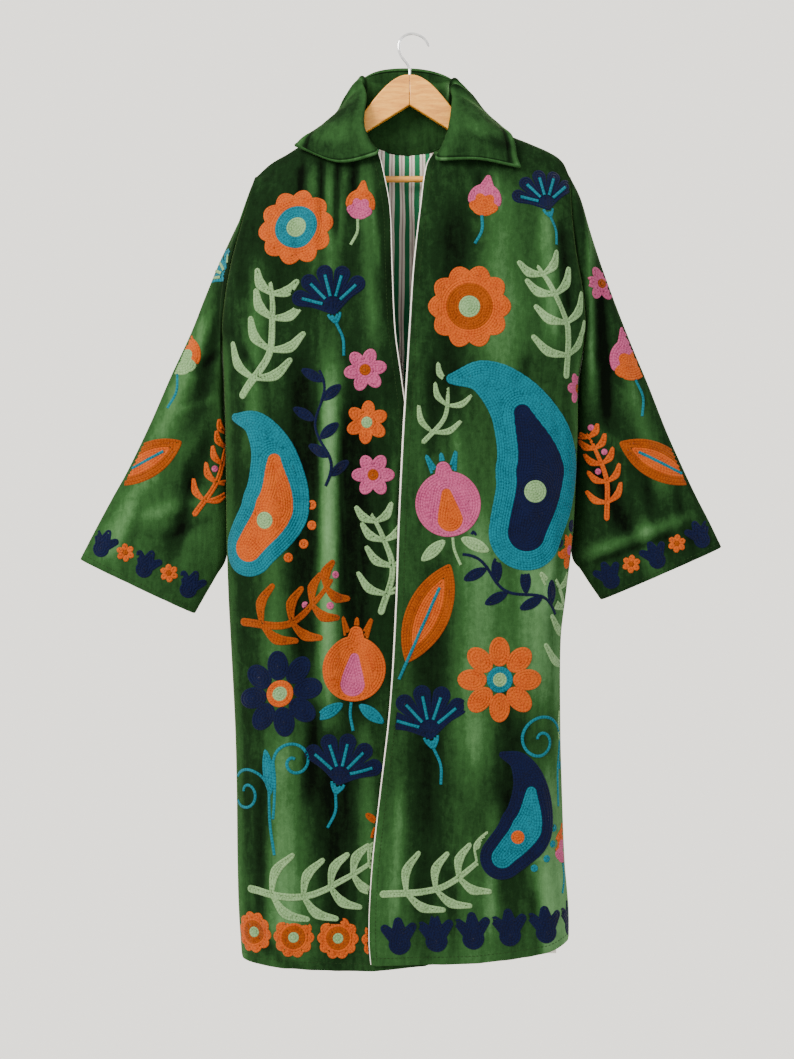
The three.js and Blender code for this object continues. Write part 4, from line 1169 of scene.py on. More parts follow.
def ring_of_petals(count, inner, outer, width, turn=0.0):
    middle, half = (inner + outer) / 2, (outer - inner) / 2

    def field(x, y):
        sector = 2 * np.pi / count
        angle = (np.arctan2(y, x) - turn + sector / 2) % sector - sector / 2
        far = np.hypot(x, y)
        from_middle = np.hypot((far * np.cos(angle) - middle) / half, far * np.sin(angle) / width)
        return (from_middle - 1) * min(half, width)

    return field


def lobed(count, r, depth):
    """A disc with scalloped lobes round its rim."""
    def field(x, y):
        angle = np.arctan2(y, x)
        return np.hypot(x, y) - r + depth * (1 - np.abs(np.cos(angle * count / 2)))

    return field


def leaf(x0, y0, x1, y1, width):
    """A pointed leaf from its stalk to its tip: where two circles overlap."""
    cx, cy, half = (x0 + x1) / 2, (y0 + y1) / 2, math.hypot(x1 - x0, y1 - y0) / 2
    ux, uy = (x1 - x0) / (2 * half), (y1 - y0) / (2 * half)
    radius = (half * half + width * width) / (2 * width)

    def field(x, y):
        along = (x - cx) * ux + (y - cy) * uy
        aside = np.abs((y - cy) * ux - (x - cx) * uy)
        return np.hypot(along, aside + radius - width) - radius

    return field


def union(*fields):
    return lambda x, y: np.min([f(x, y) for f in fields], axis=0)


def cut(field, *holes):
    return lambda x, y: np.max([field(x, y)] + [-h(x, y) for h in holes], axis=0)


def both(first, second):
    return lambda x, y: np.maximum(first(x, y), second(x, y))


def spiral(x0, y0, r, turns, start, hand=1):
    """A stem's curl, from its outside to its middle."""
    t = np.linspace(0, 1, 40)
    angle = start + hand * 2 * np.pi * turns * t
    radius = r * (1 - 0.86 * t)
    return [(x0 + a * math.cos(b), y0 + a * math.sin(b)) for a, b in zip(radius, angle)]


# ------------------------------------------------------------------ embroidery: motifs
# A motif is a list of (colour, field) fills and (colour, points) stems, about its own middle.
def rosette(r, outer, ring, heart):
    return [(outer, cut(lobed(10, r, r * 0.16), disc(0, 0, r * 0.56))),
            (ring, cut(disc(0, 0, r * 0.56), disc(0, 0, r * 0.26))), (heart, disc(0, 0, r * 0.26))]


def medallion(r, petal, between, ring, heart):
    petals = ring_of_petals(8, r * 0.3, r, r * 0.24)
    return [(petal, petals), (between, cut(ring_of_petals(8, r * 0.3, r * 0.78, r * 0.16, np.pi / 8), petals)),
            (ring, cut(disc(0, 0, r * 0.36), disc(0, 0, r * 0.16))), (heart, disc(0, 0, r * 0.17))]


def daisy(r, petal, heart):
    return [(petal, cut(ring_of_petals(6, r * 0.1, r, r * 0.3), disc(0, 0, r * 0.26))),
            (heart, disc(0, 0, r * 0.26))]


def pomegranate(r, skin, seeds, crown, leaves):
    tops = [limb([(x, r * 0.85), (x * 1.9, r * 1.42)], (r * 0.13, r * 0.05))
            for x in (-r * 0.22, 0.01, r * 0.22)]
    drop = limb([(0, -r * 0.42), (0, r * 0.3)], (r * 0.36, r * 0.14))
    sides = [leaf(s * r * 0.2, -r * 0.98, s * r * 1.0, -r * 1.5, r * 0.17) for s in (-1, 1)]
    return [(skin, cut(union(disc(0, 0, r * 0.92), limb([(0, 0), (0, r)], (r * 0.5, r * 0.2))), drop)),
            (seeds, drop), (crown, union(*tops)), (leaves, union(*sides)),
            (leaves, [(0, -r * 0.95), (0, -r * 1.3), (r * 0.12, -r * 1.75)])]


def paisley(size, outer, middle, core):
    spine = [(-0.1, -0.52), (0.06, -0.2), (0.02, 0.16), (-0.14, 0.4), (-0.34, 0.44)]
    points = [(size * x, size * y) for x, y in spine]
    body = limb(points, [size * w for w in (0.22, 0.27, 0.18, 0.1, 0.03)])
    inner = limb(points[:3], [size * w for w in (0.11, 0.15, 0.05)])
    heart = disc(size * 0.0, -size * 0.3, size * 0.065)
    dots = [(middle, disc(size * (0.0 + 0.37 * math.cos(a)), size * (-0.26 + 0.37 * math.sin(a)), size * 0.035))
            for a in np.radians((-100, -76, -52, -28, -4, 20, 44))]
    return [(outer, cut(body, inner)), (middle, cut(inner, heart)), (core, heart)] + dots


def carnation(r, petal, vein, stem):
    parts, veins = [], []
    for angle in (-62, -31, 0, 31, 62):
        a = math.radians(angle)
        tip = (r * math.sin(a), r * math.cos(a))
        parts.append(limb([(0, -r * 0.15), (tip[0] * 0.55, tip[1] * 0.5), tip], (r * 0.1, r * 0.16, r * 0.24)))
        veins.append((vein, [(tip[0] * 0.3, tip[1] * 0.3), (tip[0] * 0.95, tip[1] * 0.95)]))
    cup = limb([(0, -r * 0.2), (0, -r * 0.42)], (r * 0.22, r * 0.1))
    return [(petal, union(*parts)), (stem, cup), (stem, [(0, -r * 0.5), (r * 0.1, -r), (0, -r * 1.5)])] + veins


def bud(r, low, high, calyx):
    """A closed flower in two colours with a leafy calyx and a stalk."""
    body = union(disc(0, 0, r * 0.8), limb([(0, 0), (0, r * 1.15)], (r * 0.6, r * 0.12)))
    split = lobed(6, r * 0.7, r * 0.2)

    def lower(x, y):
        return split(x, y + r * 0.35)

    return [(low, both(body, lower)), (high, cut(body, lower)),
            (calyx, union(leaf(0, -r * 0.75, -r * 0.85, -r * 0.3, r * 0.13),
                          leaf(0, -r * 0.75, r * 0.85, -r * 0.3, r * 0.13))),
            (calyx, [(0, -r * 0.8), (r * 0.12, -r * 1.5), (-r * 0.1, -r * 2.2)])]


def sprig(length, colour, leaves=4, spread_out=0.34, bend=0.16, width=0.045, berries=None):
    """A bent stem with slim leaves in pairs, and berries between them if asked."""
    stem = [(0, -length / 2), (length * bend, -length * 0.1),
            (length * bend * 0.6, length * 0.25), (0, length / 2)]
    line = catmull_rom(np.array(stem, float), np.linspace(0, 1, 60))
    items = [limb(stem, (length * width * 0.75, length * width * 0.6, length * width * 0.35))]
    dots = []
    for k in range(leaves):
        at = int(8 + 44 * k / max(leaves - 1, 1))
        size = length * spread_out * (1 - 0.45 * k / leaves)
        x0, y0 = line[at]
        for side in (-1, 1):
            tip = (x0 + side * size * 0.8, y0 + size * 0.72)
            bow = (x0 + side * size * 0.52, y0 + size * 0.24)
            radii = (length * width * 0.4, length * width, length * width * 0.5)
            items.append(limb([(x0, y0), bow, tip], radii))
        if berries:
            dots.append((berries, disc(x0 + size * 0.3 * (-1) ** k, y0 + size * 0.62, length * 0.035)))
    return [(colour, union(*items))] + dots


def leafy_twig(length, colour, leaves=6):
    """A wavy stem with pointed leaves on alternate sides."""
    t = np.linspace(0, 1, 50)
    line = np.stack([length * 0.06 * np.sin(t * 9), (t - 0.5) * length], -1)
    items = []
    for k in range(leaves):
        x0, y0 = line[int(4 + 40 * k / (leaves - 1))]
        side = (-1) ** k
        items.append(leaf(x0, y0, x0 + side * length * 0.2, y0 + length * 0.13, length * 0.045))
    return [(colour, union(*items)), (colour, [tuple(p) for p in line])]


def scroll(size, colour, tip):
    """Two curls back to back on one stem, with a small leaf between them."""
    first = [(0, -size * 0.7), (-size * 0.04, -size * 0.3)] + spiral(-size * 0.32, 0.0, size * 0.3, 1.45, 0.0)
    second = [(0, -size * 0.3), (size * 0.06, size * 0.06)]
    second += spiral(size * 0.3, size * 0.32, size * 0.24, 1.3, np.pi, -1)
    between = leaf(0, -size * 0.05, -size * 0.02, size * 0.5, size * 0.07)
    return [(colour, first), (colour, second), (tip, between)]


def big_leaf(length, blade, inner, vein):
    shape = leaf(0, -length / 2, 0, length / 2, length * 0.2)
    small = leaf(0, -length * 0.36, 0, length * 0.36, length * 0.1)
    rib = [(0, -length * 0.66), (0, -length * 0.3), (0, length * 0.26)]
    return [(blade, cut(shape, small)), (inner, small), (vein, rib)]


# Placements: motif, the place of its middle, angle in degrees. On the body the place is the distance
# across the cloth and the height, on a sleeve x and z. A later motif gives way to an earlier one.
PLACED = {
    "right": [
        (rosette(50, "coral", "teal", "mint"), -152, -262, 8),
        (bud(25, "pink", "coral", "mint"), -66, -232, -10),
        (carnation(44, "navy", "teal", "teal"), -102, -366, 14),
        (sprig(150, "mint", 4, 0.34), -204, -408, -16),
        (daisy(29, "pink", "orange"), -58, -448, 10),
        (daisy(29, "coral", "mint"), -56, -516, 24),
        (daisy(29, "pink", "orange"), -48, -584, 0),
        (leafy_twig(150, "navy", 6), -118, -524, 4),
        (paisley(172, "teal", "coral", "mint"), -190, -592, -8),
        (sprig(128, "mint", 4, 0.34), -44, -698, 6),
        (sprig(136, "orange", 4, 0.36, 0.2, 0.05, "pink"), -168, -748, -66),
        (medallion(57, "navy", "teal", "coral", "mint"), -172, -868, 10),
        (pomegranate(46, "coral", "pink", "orange", "teal"), -74, -836, -4),
        (scroll(116, "teal", "teal"), -184, -996, 4),
        (carnation(46, "navy", "teal", "teal"), -92, -976, -14),
        (sprig(180, "mint", 5, 0.3, 0.14, 0.036), -126, -1102, -76),
        (leafy_twig(96, "orange", 5), -44, -1056, -6),
    ],
    "left": [
        (carnation(38, "navy", "teal", "teal"), 180, -230, 14),
        (bud(27, "coral", "pink", "teal"), 98, -226, -10),
        (rosette(54, "coral", "orange", "mint"), 78, -366, 0),
        (sprig(146, "mint", 4, 0.34, 0.12, 0.042), 188, -384, 16),
        (paisley(224, "teal", "navy", "mint"), 150, -540, 12),
        (daisy(22, "pink", "orange"), 232, -470, 0),
        (sprig(92, "mint", 3, 0.4), 34, -498, -20),
        (pomegranate(46, "pink", "coral", "teal", "mint"), 50, -622, 8),
        (leafy_twig(150, "navy", 7), 132, -728, 60),
        (daisy(26, "coral", "pink"), 222, -682, 12),
        (big_leaf(142, "orange", "coral", "teal"), 24, -764, -24),
        (sprig(140, "mint", 4, 0.36), 208, -790, 10),
        (medallion(56, "coral", "pink", "teal", "mint"), 118, -850, 0),
        (scroll(120, "teal", "mint"), 212, -934, -6),
        (carnation(48, "navy", "teal", "teal"), 26, -916, 12),
        (paisley(134, "navy", "teal", "coral"), 152, -1016, -14),
        (sprig(168, "mint", 5, 0.3, 0.14, 0.036), 42, -1094, -66),
        (bud(28, "pink", "coral", "teal"), 216, -1070, -4),
    ],
    "back": [
        (rosette(56, "coral", "teal", "mint"), 0, -260, 0),
        (carnation(36, "navy", "teal", "teal"), -124, -250, 16),
        (carnation(36, "navy", "teal", "teal"), 128, -262, -14),
        (paisley(170, "teal", "coral", "mint"), -136, -440, 10),
        (sprig(160, "mint", 5, 0.3, 0.12, 0.04), -26, -420, 8),
        (pomegranate(42, "coral", "pink", "orange", "teal"), 92, -430, 8),
        (leafy_twig(170, "navy", 8), 176, -470, -10),
        (daisy(26, "pink", "orange"), 30, -540, 0),
        (daisy(26, "coral", "mint"), 32, -606, 20),
        (daisy(26, "pink", "orange"), 28, -672, 0),
        (medallion(54, "navy", "teal", "coral", "mint"), -146, -680, 0),
        (sprig(150, "orange", 4, 0.36, 0.2, 0.05, "pink"), -62, -590, 36),
        (paisley(190, "teal", "navy", "mint"), 148, -690, -12),
        (scroll(90, "teal", "teal"), -60, -790, 0),
        (sprig(180, "mint", 6, 0.28, 0.14, 0.036), 60, -850, -52),
        (bud(28, "coral", "pink", "teal"), -172, -840, 10),
        (carnation(42, "navy", "teal", "teal"), -100, -950, -12),
        (rosette(46, "coral", "orange", "mint"), 154, -960, 0),
        (leafy_twig(140, "orange", 7), -196, -1010, 6),
        (pomegranate(38, "pink", "coral", "teal", "mint"), 32, -1010, -8),
        (sprig(180, "mint", 6, 0.26, 0.14, 0.034), -70, -1096, -70),
        (scroll(84, "teal", "mint"), 190, -1096, 0),
    ],
    "right_sleeve_front": [
        (carnation(30, "teal", "mint", "teal"), -240, -322, 28),
        (bud(33, "mint", "coral", "teal"), -302, -424, -12),
        (sprig(124, "coral", 5, 0.24, 0.1, 0.038, "pink"), -262, -576, -20),
        (big_leaf(118, "orange", "coral", "teal"), -352, -566, -62),
    ],
    "left_sleeve_front": [
        (daisy(24, "pink", "orange"), 254, -330, 0),
        (bud(35, "coral", "pink", "teal"), 292, -430, 14),
        (sprig(120, "coral", 5, 0.24, 0.1, 0.038, "pink"), 246, -582, 14),
        (big_leaf(120, "orange", "coral", "teal"), 330, -566, 64),
    ],
    "right_sleeve_back": [
        (rosette(30, "coral", "teal", "mint"), -296, -450, 0),
        (sprig(110, "mint", 4, 0.3), -262, -580, -20),
        (paisley(92, "orange", "teal", "mint"), -350, -590, -40),
    ],
    "left_sleeve_back": [
        (rosette(30, "coral", "orange", "mint"), 284, -450, 0),
        (sprig(110, "mint", 4, 0.3), 246, -580, 20),
        (paisley(92, "teal", "coral", "mint"), 336, -590, 40),
    ],
}


def border_bud(r):
    """Three fat petals from one foot."""
    return [("navy", union(limb([(0, -r * 0.5), (0, r * 0.75)], (r * 0.62, r * 0.24)),
                           limb([(0, -r * 0.45), (r * 0.78, r * 0.4)], (r * 0.42, r * 0.24)),
                           limb([(0, -r * 0.45), (-r * 0.78, r * 0.4)], (r * 0.42, r * 0.24))))]


# Hem and cuff borders: panel, motifs that take turns, first and last place, how many.
BORDERS = [
    ("right", [rosette(27, "coral", "orange", "mint")], (-210, -1180), (-36, -1189), 4),
    ("left", [border_bud(23)], (-14, -1181), (226, -1163), 6),
    ("back", [border_bud(23), rosette(23, "coral", "orange", "mint")], (-226, -1182), (212, -1166), 9),
    ("right_sleeve_front", [border_bud(18), daisy(13, "coral", "orange")], (-403, -672), (-288, -726), 5),
    ("left_sleeve_front", [border_bud(18), daisy(13, "coral", "orange")], (382, -660), (262, -714), 5),
    ("right_sleeve_back", [border_bud(18)], (-398, -674), (-294, -724), 4),
    ("left_sleeve_back", [border_bud(18)], (376, -664), (268, -712), 4),
]


# ------------------------------------------------------------------ embroidery: rows of stitches
ROW = 3.3          # mm between rows of chain stitch
FIRST_ROW = 1.5    # the first row lies this far inside a shape's outline
FILL_WIDTH, STEM_WIDTH = 4.1, 4.4  # mm across a row in a fill and in a stem
CELL = 1.3         # mm between the points at which a shape is read
STITCH_STEP = 2.0  # half a chain stitch
# The sides of a cell that a level line joins, by which of the cell's corners lie inside.
CELL_LINES = {1: [(3, 0)], 2: [(0, 1)], 3: [(3, 1)], 4: [(1, 2)], 5: [(3, 0), (1, 2)], 6: [(0, 2)],
              7: [(3, 2)], 8: [(2, 3)], 9: [(0, 2)], 10: [(0, 1), (2, 3)], 11: [(1, 2)], 12: [(1, 3)],
              13: [(0, 1)], 14: [(3, 0)]}


def level_lines(field, level):
    """Closed lines along which a gridded field has a level, as (column, row) points."""
    inside = field < level
    cell = inside[:-1, :-1] + 2 * inside[:-1, 1:] + 4 * inside[1:, 1:] + 8 * inside[1:, :-1]
    links = {}
    for r, c in zip(*np.nonzero((cell > 0) & (cell < 15))):
        sides = ((r, c, 0), (r, c + 1, 1), (r + 1, c, 0), (r, c, 1))
        for a, b in CELL_LINES[int(cell[r, c])]:
            links.setdefault(sides[a], []).append(sides[b])
            links.setdefault(sides[b], []).append(sides[a])

    def crossing(key):
        r, c, upright = key
        r2, c2 = (r + 1, c) if upright else (r, c + 1)
        share = (level - field[r, c]) / (field[r2, c2] - field[r, c])
        return (c + share * (c2 - c), r + share * (r2 - r))

    lines = []
    while links:
        start = next(iter(links))
        loop, key = [], start
        while key in links:
            loop.append(crossing(key))
            onward = [k for k in links.pop(key) if k in links]
            key = onward[0] if onward else None
        lines.append(np.array(loop))
    return lines


def resample(line, closed):
    if closed:
        line = np.concatenate([line, line[:1]])
    steps = np.linalg.norm(np.diff(line, axis=0), axis=1)
    arc = np.concatenate([[0], np.cumsum(steps)])
    count = max(2 * round(arc[-1] / (2 * STITCH_STEP)), 4)
    at = np.linspace(0, arc[-1], count + 1)
    if closed:
        at = at[:-1]
    return np.stack([np.interp(at, arc, line[:, k]) for k in (0, 1)], -1)


def rows_of(field, reach):
    """The rows that fill a shape, from its outline inwards."""
    axis = np.arange(-reach, reach + CELL, CELL)
    grid = field(*np.meshgrid(axis, axis))
    lines, level, deepest = [], -FIRST_ROW, grid.min()
    levels = []
    while level > deepest + 0.5:
        levels.append(level)
        level -= ROW
    if levels and levels[-1] - deepest > FIRST_ROW + 0.3:
        levels.append(deepest + 0.7)
    for level in levels:
        for loop in level_lines(grid, level):
            line = axis[0] + loop * CELL
            if len(line) > 5:
                lines.append(resample(line, True))
    return lines


def motif_reach(motif):
    """Half the side of the square that a motif's shapes fill."""
    axis = np.arange(-260.0, 261.0, 5.0)
    x, y = np.meshgrid(axis, axis)
    far = [5.0]
    for _, shape in motif:
        if callable(shape):
            inside = shape(x, y) < 3
            far.append(np.abs(np.stack([x[inside], y[inside]])).max(initial=0))
    return max(far) + 6


MOTIF_GAP = 3.5     # mm left between one motif and the next
PART_GAP = 0.8      # and between the parts of a motif
STEM_LIFT = 0.9     # a stem that crosses a fill lies on top of it
SHORTEST_RUN = 5    # samples; a row cut shorter than this is left out
GROUND_CELL = 2.6
GROUND_INSET = 1.0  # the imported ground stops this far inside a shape's outline
GROUND_HEIGHT = 0.55


def to_cloth(points, place_at):
    """Turns and moves a motif's own points to their place on the cloth's chart."""
    x, z, angle = place_at
    a = math.radians(angle)
    return points @ np.array([[math.cos(a), math.sin(a)], [-math.sin(a), math.cos(a)]]) + (x, z)


def to_motif(points, place_at):
    x, z, angle = place_at
    a = math.radians(angle)
    return (points - (x, z)) @ np.array([[math.cos(a), -math.sin(a)], [math.sin(a), math.cos(a)]])


def inside_of(points, motif, gap):
    """Which of a motif's own points lie in its fills, or nearer to them than a gap."""
    inside = np.zeros(len(points), bool)
    for _, shape in motif:
        if callable(shape):
            inside |= shape(points[:, 0], points[:, 1]) < gap
    return inside


def clear_of(points, earlier):
    """Which points on the chart lie outside every motif that was placed before."""
    free = np.ones(len(points), bool)
    for motif, place_at, reach in earlier:
        own = to_motif(points, place_at)
        near = free & (np.abs(own).max(axis=1) < reach + MOTIF_GAP)
        if near.any():
            free[np.nonzero(near)[0][inside_of(own[near], motif, MOTIF_GAP)]] = False
    return free


def ground_cells(field, reach):
    """A grid of points over a shape and the cells that lie wholly inside it."""
    axis = np.arange(-reach, reach + GROUND_CELL, GROUND_CELL)
    x, y = np.meshgrid(axis, axis)
    inside = field(x, y) < -GROUND_INSET
    r, c = np.nonzero(inside[:-1, :-1] & inside[1:, :-1] & inside[:-1, 1:] & inside[1:, 1:])
    corners = np.stack([r * len(axis) + c, r * len(axis) + c + 1, (r + 1) * len(axis) + c + 1,
                        (r + 1) * len(axis) + c], -1)
    used, cells = np.unique(corners, return_inverse=True)
    return np.stack([x, y], -1).reshape(-1, 2)[used], cells.reshape(-1, 4)


def placed_motifs():
    """Every motif by panel, with its place and reach."""
    placed = {panel: list(items) for panel, items in PLACED.items()}
    for panel, motifs, first, last, count in BORDERS:
        tilt = math.degrees(math.atan2(last[1] - first[1], last[0] - first[0]))
        tilt = tilt - 180 if tilt > 90 else tilt + 180 if tilt < -90 else tilt
        for k in range(count):
            at = mix(np.array(first, float), np.array(last, float), k / (count - 1))
            placed[panel].append((motifs[k % len(motifs)], at[0], at[1], tilt))
    return {panel: [(item[0], item[1:], motif_reach(item[0])) for item in items]
            for panel, items in placed.items()}


def stitched_lines():
    """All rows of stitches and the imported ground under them, by panel, in the chart: rows as colour,
    closed or not, width, points, which of those are free and how far each is lifted; ground as
    colour, points, cells and which points are free."""
    result = {}
    for panel, items in placed_motifs().items():
        rows, ground = [], []
        for k, (motif, place_at, reach) in enumerate(items):
            for part, (colour, shape) in enumerate(motif):
                if callable(shape):
                    lines = [(True, FILL_WIDTH, line) for line in rows_of(shape, reach)]
                    corners, cells = ground_cells(shape, reach)
                    if len(cells):
                        free = ~inside_of(corners, motif[:part], PART_GAP)
                        corners = to_cloth(corners, place_at)
                        ground.append((colour, corners, cells, free & clear_of(corners, items[:k])))
                else:
                    smooth = catmull_rom(np.array(shape, float), np.linspace(0, 1, 12 * len(shape)))
                    lines = [(False, STEM_WIDTH, resample(smooth, False))]
                for closed, width, line in lines:
                    over = inside_of(line, motif[:part], PART_GAP)
                    lift = np.where(over & (not closed), STEM_LIFT, 0.0)
                    free = ~over if closed else np.ones(len(line), bool)
                    line = to_cloth(line, place_at)
                    rows.append((colour, closed, width, line, free & clear_of(line, items[:k]), lift))
        result[panel] = rows, ground
    return result


STITCH_HEIGHT = 1.15
SECTION = [(-0.5, -0.25), (-0.33, 0.8), (0.33, 0.8), (0.5, -0.25)]  # across and up, in widths and heights


def ribbon(points, normals, closed, width):
    """One raised row of chain stitch along points on the cloth: vertices, faces and UVs."""
    count = len(points)
    if closed:
        tangent = np.roll(points, -1, 0) - np.roll(points, 1, 0)
    else:
        tangent = np.gradient(points, axis=0)
    side = unit(np.cross(normals, unit(tangent)))
    fat = np.where(np.arange(count) % 2 == 0, 1.0, 0.90)[:, None]
    rows = [points + side * a * width * fat + normals * b * STITCH_HEIGHT * fat for a, b in SECTION]
    vertices = np.stack(rows, 1).reshape(-1, 3)
    first = np.arange(count if closed else count - 1)
    second = (first + 1) % count
    faces = [np.stack([first * 4 + k, first * 4 + k + 1, second * 4 + k + 1, second * 4 + k], -1)
             for k in range(len(SECTION) - 1)]
    uv = np.stack([np.repeat(np.arange(count) / 2.0, 4), np.tile([0, 0.3, 0.7, 1.0], count)], -1)
    return vertices, np.concatenate(faces), uv


def ground_patch(points, normals, cells, good):
    """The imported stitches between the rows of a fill, as a low sheet on the cloth."""
    cells = cells[good[cells].all(axis=1)]
    used, faces = np.unique(cells, return_inverse=True)
    vertices = points[used] + normals[used] * GROUND_HEIGHT
    uv = np.stack([points[used, 0], points[used, 2]], -1) / (2 * STITCH_STEP)
    return vertices, faces.reshape(-1, 4), uv


def make_embroidery():
    """One object for each thread colour on each panel."""
    charts = {name: body_chart(name) for name in ("right", "left", "back")}
    for side in ("right", "left"):
        charts[side + "_sleeve_front"] = sleeve_chart(side, False)
        charts[side + "_sleeve_back"] = sleeve_chart(side, True)
    for panel, (rows, ground) in stitched_lines().items():
        points, normals, good = charts[panel](np.concatenate([row[3] for row in rows]))
        parts, start = {}, 0
        for colour, closed, width, line, free, lift in rows:
            here = slice(start, start + len(line))
            start += len(line)
            sewn = points[here] + normals[here] * lift[:, None]
            for run, whole in kept_runs(good[here] & free, closed):
                parts.setdefault(colour, []).append(ribbon(sewn[run], normals[here][run], whole, width))
        points, normals, good = charts[panel](np.concatenate([patch[1] for patch in ground]))
        start = 0
        for colour, corners, cells, free in ground:
            here = slice(start, start + len(corners))
            start += len(corners)
            piece = ground_patch(points[here], normals[here], cells, good[here] & free)
            if len(piece[1]):
                parts.setdefault(colour, []).append(piece)
        for colour, pieces in parts.items():
            join_ribbons(panel + "_" + colour + "_stitches", pieces, colour)


def kept_runs(good, closed):
    """Index runs of the samples that lie on the panel."""
    if good.all():
        return [(np.arange(len(good)), closed)]
    order = np.arange(len(good))
    if closed and good.any():
        order = np.roll(order, -int(np.argmin(good)))
    runs, run = [], []
    for i in order:
        if good[i]:
            run.append(i)
        elif run:
            runs.append(run)
            run = []
    runs.append(run)
    return [(np.array(run), False) for run in runs if len(run) > SHORTEST_RUN]


def join_ribbons(name, pieces, colour):
    vertices, faces, uvs, start = [], [], [], 0
    for v, f, uv in pieces:
        vertices.append(v)
        faces.append(f + start)
        uvs.append(uv)
        start += len(v)
    obj = make_mesh(name, np.concatenate(vertices), np.concatenate(faces), [THREADS[colour]],
                    uvs=np.concatenate(uvs))
    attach(obj, "root")


# ------------------------------------------------------------------ topstitching
TOPSTITCH_LIFT = 0.15  # mm above the cloth
STITCHING_STARTS = 8  # steps across the collar from its seam
TOPSTITCH_LENGTH, TOPSTITCH_GAP, TOPSTITCH_THICK = 3.6, 1.4, 0.7


def topstitch_tree():
    """Lays short round stitches end to end, with gaps between them, along the edges of a mesh."""
    tree = bpy.data.node_groups.new("topstitching", "GeometryNodeTree")
    tree.interface.new_socket("Geometry", in_out="INPUT", socket_type="NodeSocketGeometry")
    for name in ("Stitch Length", "Stitch Gap", "Thread Thickness"):
        tree.interface.new_socket(name, in_out="INPUT", socket_type="NodeSocketFloat")
    tree.interface.new_socket("Thread", in_out="INPUT", socket_type="NodeSocketMaterial")
    tree.interface.new_socket("Geometry", in_out="OUTPUT", socket_type="NodeSocketGeometry")
    given = add_node(tree, "NodeGroupInput").outputs
    line = add_node(tree, "GeometryNodeMeshToCurve", links={0: given["Geometry"]})
    pitch = add_node(tree, "ShaderNodeMath", {"operation": "ADD"},
                     {0: given["Stitch Length"], 1: given["Stitch Gap"]})
    spaced = add_node(tree, "GeometryNodeResampleCurve", {"mode": "LENGTH"},
                      {"Curve": line.outputs[0], "Length": pitch.outputs[0]})
    tangent = add_node(tree, "GeometryNodeInputTangent")
    turned = add_node(tree, "FunctionNodeAlignRotationToVector", {"axis": "X"}, {"Vector": tangent.outputs[0]})
    bead = add_node(tree, "GeometryNodeMeshUVSphere", Segments=6, Rings=4, Radius=0.5)
    thick = given["Thread Thickness"]
    size = add_node(tree, "ShaderNodeCombineXYZ", links={"X": given["Stitch Length"], "Y": thick, "Z": thick})
    stitches = add_node(tree, "GeometryNodeInstanceOnPoints",
                        links={"Points": spaced.outputs[0], "Instance": bead.outputs[0],
                               "Rotation": turned.outputs[0], "Scale": size.outputs[0]})
    real = add_node(tree, "GeometryNodeRealizeInstances", links={0: stitches.outputs[0]})
    thread = add_node(tree, "GeometryNodeSetMaterial", links={0: real.outputs[0], "Material": given["Thread"]})
    add_node(tree, "NodeGroupOutput", links={0: thread.outputs[0]})
    return tree


def sew(tree, name, lines):
    """One mesh of stitches along several lines of points, in mm."""
    points = np.concatenate(lines)
    edges, start = [], 0
    for line in lines:
        edges += [(start + i, start + i + 1) for i in range(len(line) - 1)]
        start += len(line)
    mesh = bpy.data.meshes.new(name + "_line")
    mesh.from_pydata(place(points).tolist(), edges, [])
    guide = bpy.data.objects.new(name, mesh)
    bpy.context.scene.collection.objects.link(guide)
    modifier = guide.modifiers.new("topstitching", "NODES")
    modifier.node_group = tree
    sizes = {"Stitch Length": TOPSTITCH_LENGTH, "Stitch Gap": TOPSTITCH_GAP,
             "Thread Thickness": TOPSTITCH_THICK}
    for item in tree.interface.items_tree:
        if item.in_out == "INPUT" and item.name in sizes:
            modifier[item.identifier] = sizes[item.name] / METRE
        elif item.in_out == "INPUT" and item.name == "Thread":
            modifier[item.identifier] = THREADS["green"]
    evaluated = guide.evaluated_get(bpy.context.evaluated_depsgraph_get())
    sewn = bpy.data.meshes.new_from_object(evaluated)
    guide.modifiers.clear()
    guide.data = sewn
    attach(guide, "root")


def topstitch_lines():
    """Where the stitching shows: beside the front edges, round the cuffs and along the hems."""
    lines = []
    for side, surface, outward in (("left", front_y, 1), ("right", under_front_y, -1)):
        z = np.linspace(FRONT_CORNER[side][1] - 14, HEM_Z + 6, 400)
        x = edge_x(side, z) + outward * TOPSTITCH_INSET
        lines.append(np.stack([x, surface(x, z) - TOPSTITCH_LIFT, z], -1))
        turn = np.linspace(0, 1, 160)
        cuff = np.full(160, 1 - TOPSTITCH_INSET / SLEEVE_LENGTH)
        lines.append(sleeve_points(side, cuff, turn) + TOPSTITCH_LIFT * sleeve_normals(side, cuff, turn))
    for name, surface, sign in (("left", front_y, -1), ("right", under_front_y, -1), ("back", back_y, 1)):
        ends = (edge_x(name, HEM_Z), side_x(name, HEM_Z)) if name != "back" else (
            side_x("right", HEM_Z), side_x("left", HEM_Z))
        x = np.linspace(*np.array(ends, float) * 0.98, 300)
        z = read(HEMS[name], "x", "z", x) + TOPSTITCH_INSET + 2
        lines.append(np.stack([x, surface(x, z) + sign * TOPSTITCH_LIFT, z], -1))
    return lines


def collar_stitch_lines(middle, normal):
    """Round the three free edges of the collar, on the side that shows when it is turned down."""
    inset_t = int(round(TOPSTITCH_INSET / COLLAR_LENGTH * COLLAR_STATIONS)) + 1
    inset_v = int(round(TOPSTITCH_INSET / COLLAR_DEPTH * COLLAR_ACROSS))
    face = middle + normal * COLLAR_WALL / 2 * 0.75
    edge = COLLAR_ACROSS - inset_v
    first = face[inset_t, STITCHING_STARTS:edge]
    long = face[inset_t:COLLAR_STATIONS - inset_t, edge]
    last = face[COLLAR_STATIONS - inset_t, STITCHING_STARTS:edge][::-1]
    return [np.concatenate([first, long, last])]


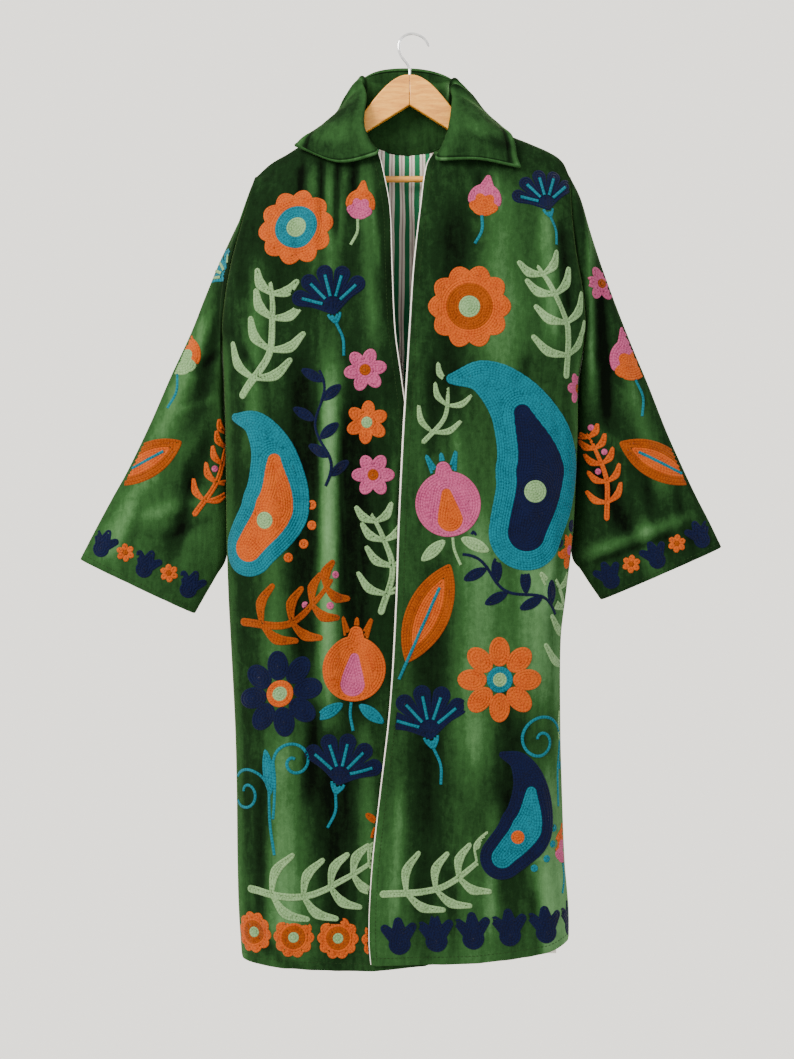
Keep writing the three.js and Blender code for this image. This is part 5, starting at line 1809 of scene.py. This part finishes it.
# ------------------------------------------------------------------ building
LEFT_FRONT = make_panel("left", "left_front")
RIGHT_FRONT = make_panel("right", "right_front")
BACK = make_panel("back", "back")
LEFT_SLEEVE = make_sleeve("left")
RIGHT_SLEEVE = make_sleeve("right")
COLLAR, collar_middle, collar_normal = make_collar()
make_piping("left")
make_piping("right")
make_neck_seam()
make_hook()
dress_hanger()
make_label()
BACK_LINING = make_back_lining()

make_embroidery()
TOPSTITCHING = topstitch_tree()
sew(TOPSTITCHING, "edge_topstitching", topstitch_lines())
sew(TOPSTITCHING, "collar_topstitching", collar_stitch_lines(collar_middle, collar_normal))

# ------------------------------------------------------------------ camera, light and floor
VIEW_X, VIEW_Z = -16.6, -655.0  # mm, the middle of the view
VIEW_DISTANCE = 2320.0
VIEW_HEIGHT = 1391.0
VIEW_PLANE = 20.0  # mm in front of the hook, where the view's height is measured
SENSOR = 36.0

camera_data = bpy.data.cameras.new("camera")
camera_data.sensor_width = SENSOR
camera_data.lens = SENSOR * (VIEW_DISTANCE - VIEW_PLANE) / VIEW_HEIGHT
camera = bpy.data.objects.new("camera", camera_data)
camera.location = ((VIEW_X + NECK_X) / METRE, -VIEW_DISTANCE / METRE, VIEW_Z / METRE)
camera.rotation_euler = (math.radians(90), 0, 0)
bpy.context.scene.collection.objects.link(camera)
bpy.context.scene.camera = camera


def area_light(name, location, target, size, power, colour):
    data = bpy.data.lights.new(name, "AREA")
    data.shape = "DISK"
    data.size = size
    data.energy = power
    data.color = srgb(colour)[:3]
    light = bpy.data.objects.new(name, data)
    light.location = location
    light.rotation_euler = (Vector(target) - Vector(location)).to_track_quat("-Z", "Y").to_euler()
    bpy.context.scene.collection.objects.link(light)


area_light("window", (-2.0, -2.1, 1.1), (0, 0, -0.6), 1.5, 260, "#fff8ee")
area_light("room", (2.2, -2.0, -0.2), (0, 0, -0.7), 2.2, 30, "#f4f6ff")
area_light("behind", (0.6, 2.4, 0.6), (0, 0, -0.6), 2.0, 60, "#ffffff")

world = bpy.data.worlds.new("pale room")
world.use_nodes = True
world.node_tree.nodes["Background"].inputs[0].default_value = srgb("#dcd8d0")
world.node_tree.nodes["Background"].inputs[1].default_value = 2.8
bpy.context.scene.world = world

FLOOR_Z, FLOOR_RADIUS, FLOOR_SIDES = -1.76, 1.22, 96  # metres
angles = 2 * np.pi * np.arange(FLOOR_SIDES) / FLOOR_SIDES
rim = [(math.cos(a) * FLOOR_RADIUS, math.sin(a) * FLOOR_RADIUS, FLOOR_Z) for a in angles]
floor_mesh = bpy.data.meshes.new("floor")
floor_mesh.from_pydata(rim, [], [tuple(range(FLOOR_SIDES))])
floor_mesh.materials.append(stage_material())
floor = bpy.data.objects.new("floor", floor_mesh)
bpy.context.scene.collection.objects.link(floor)
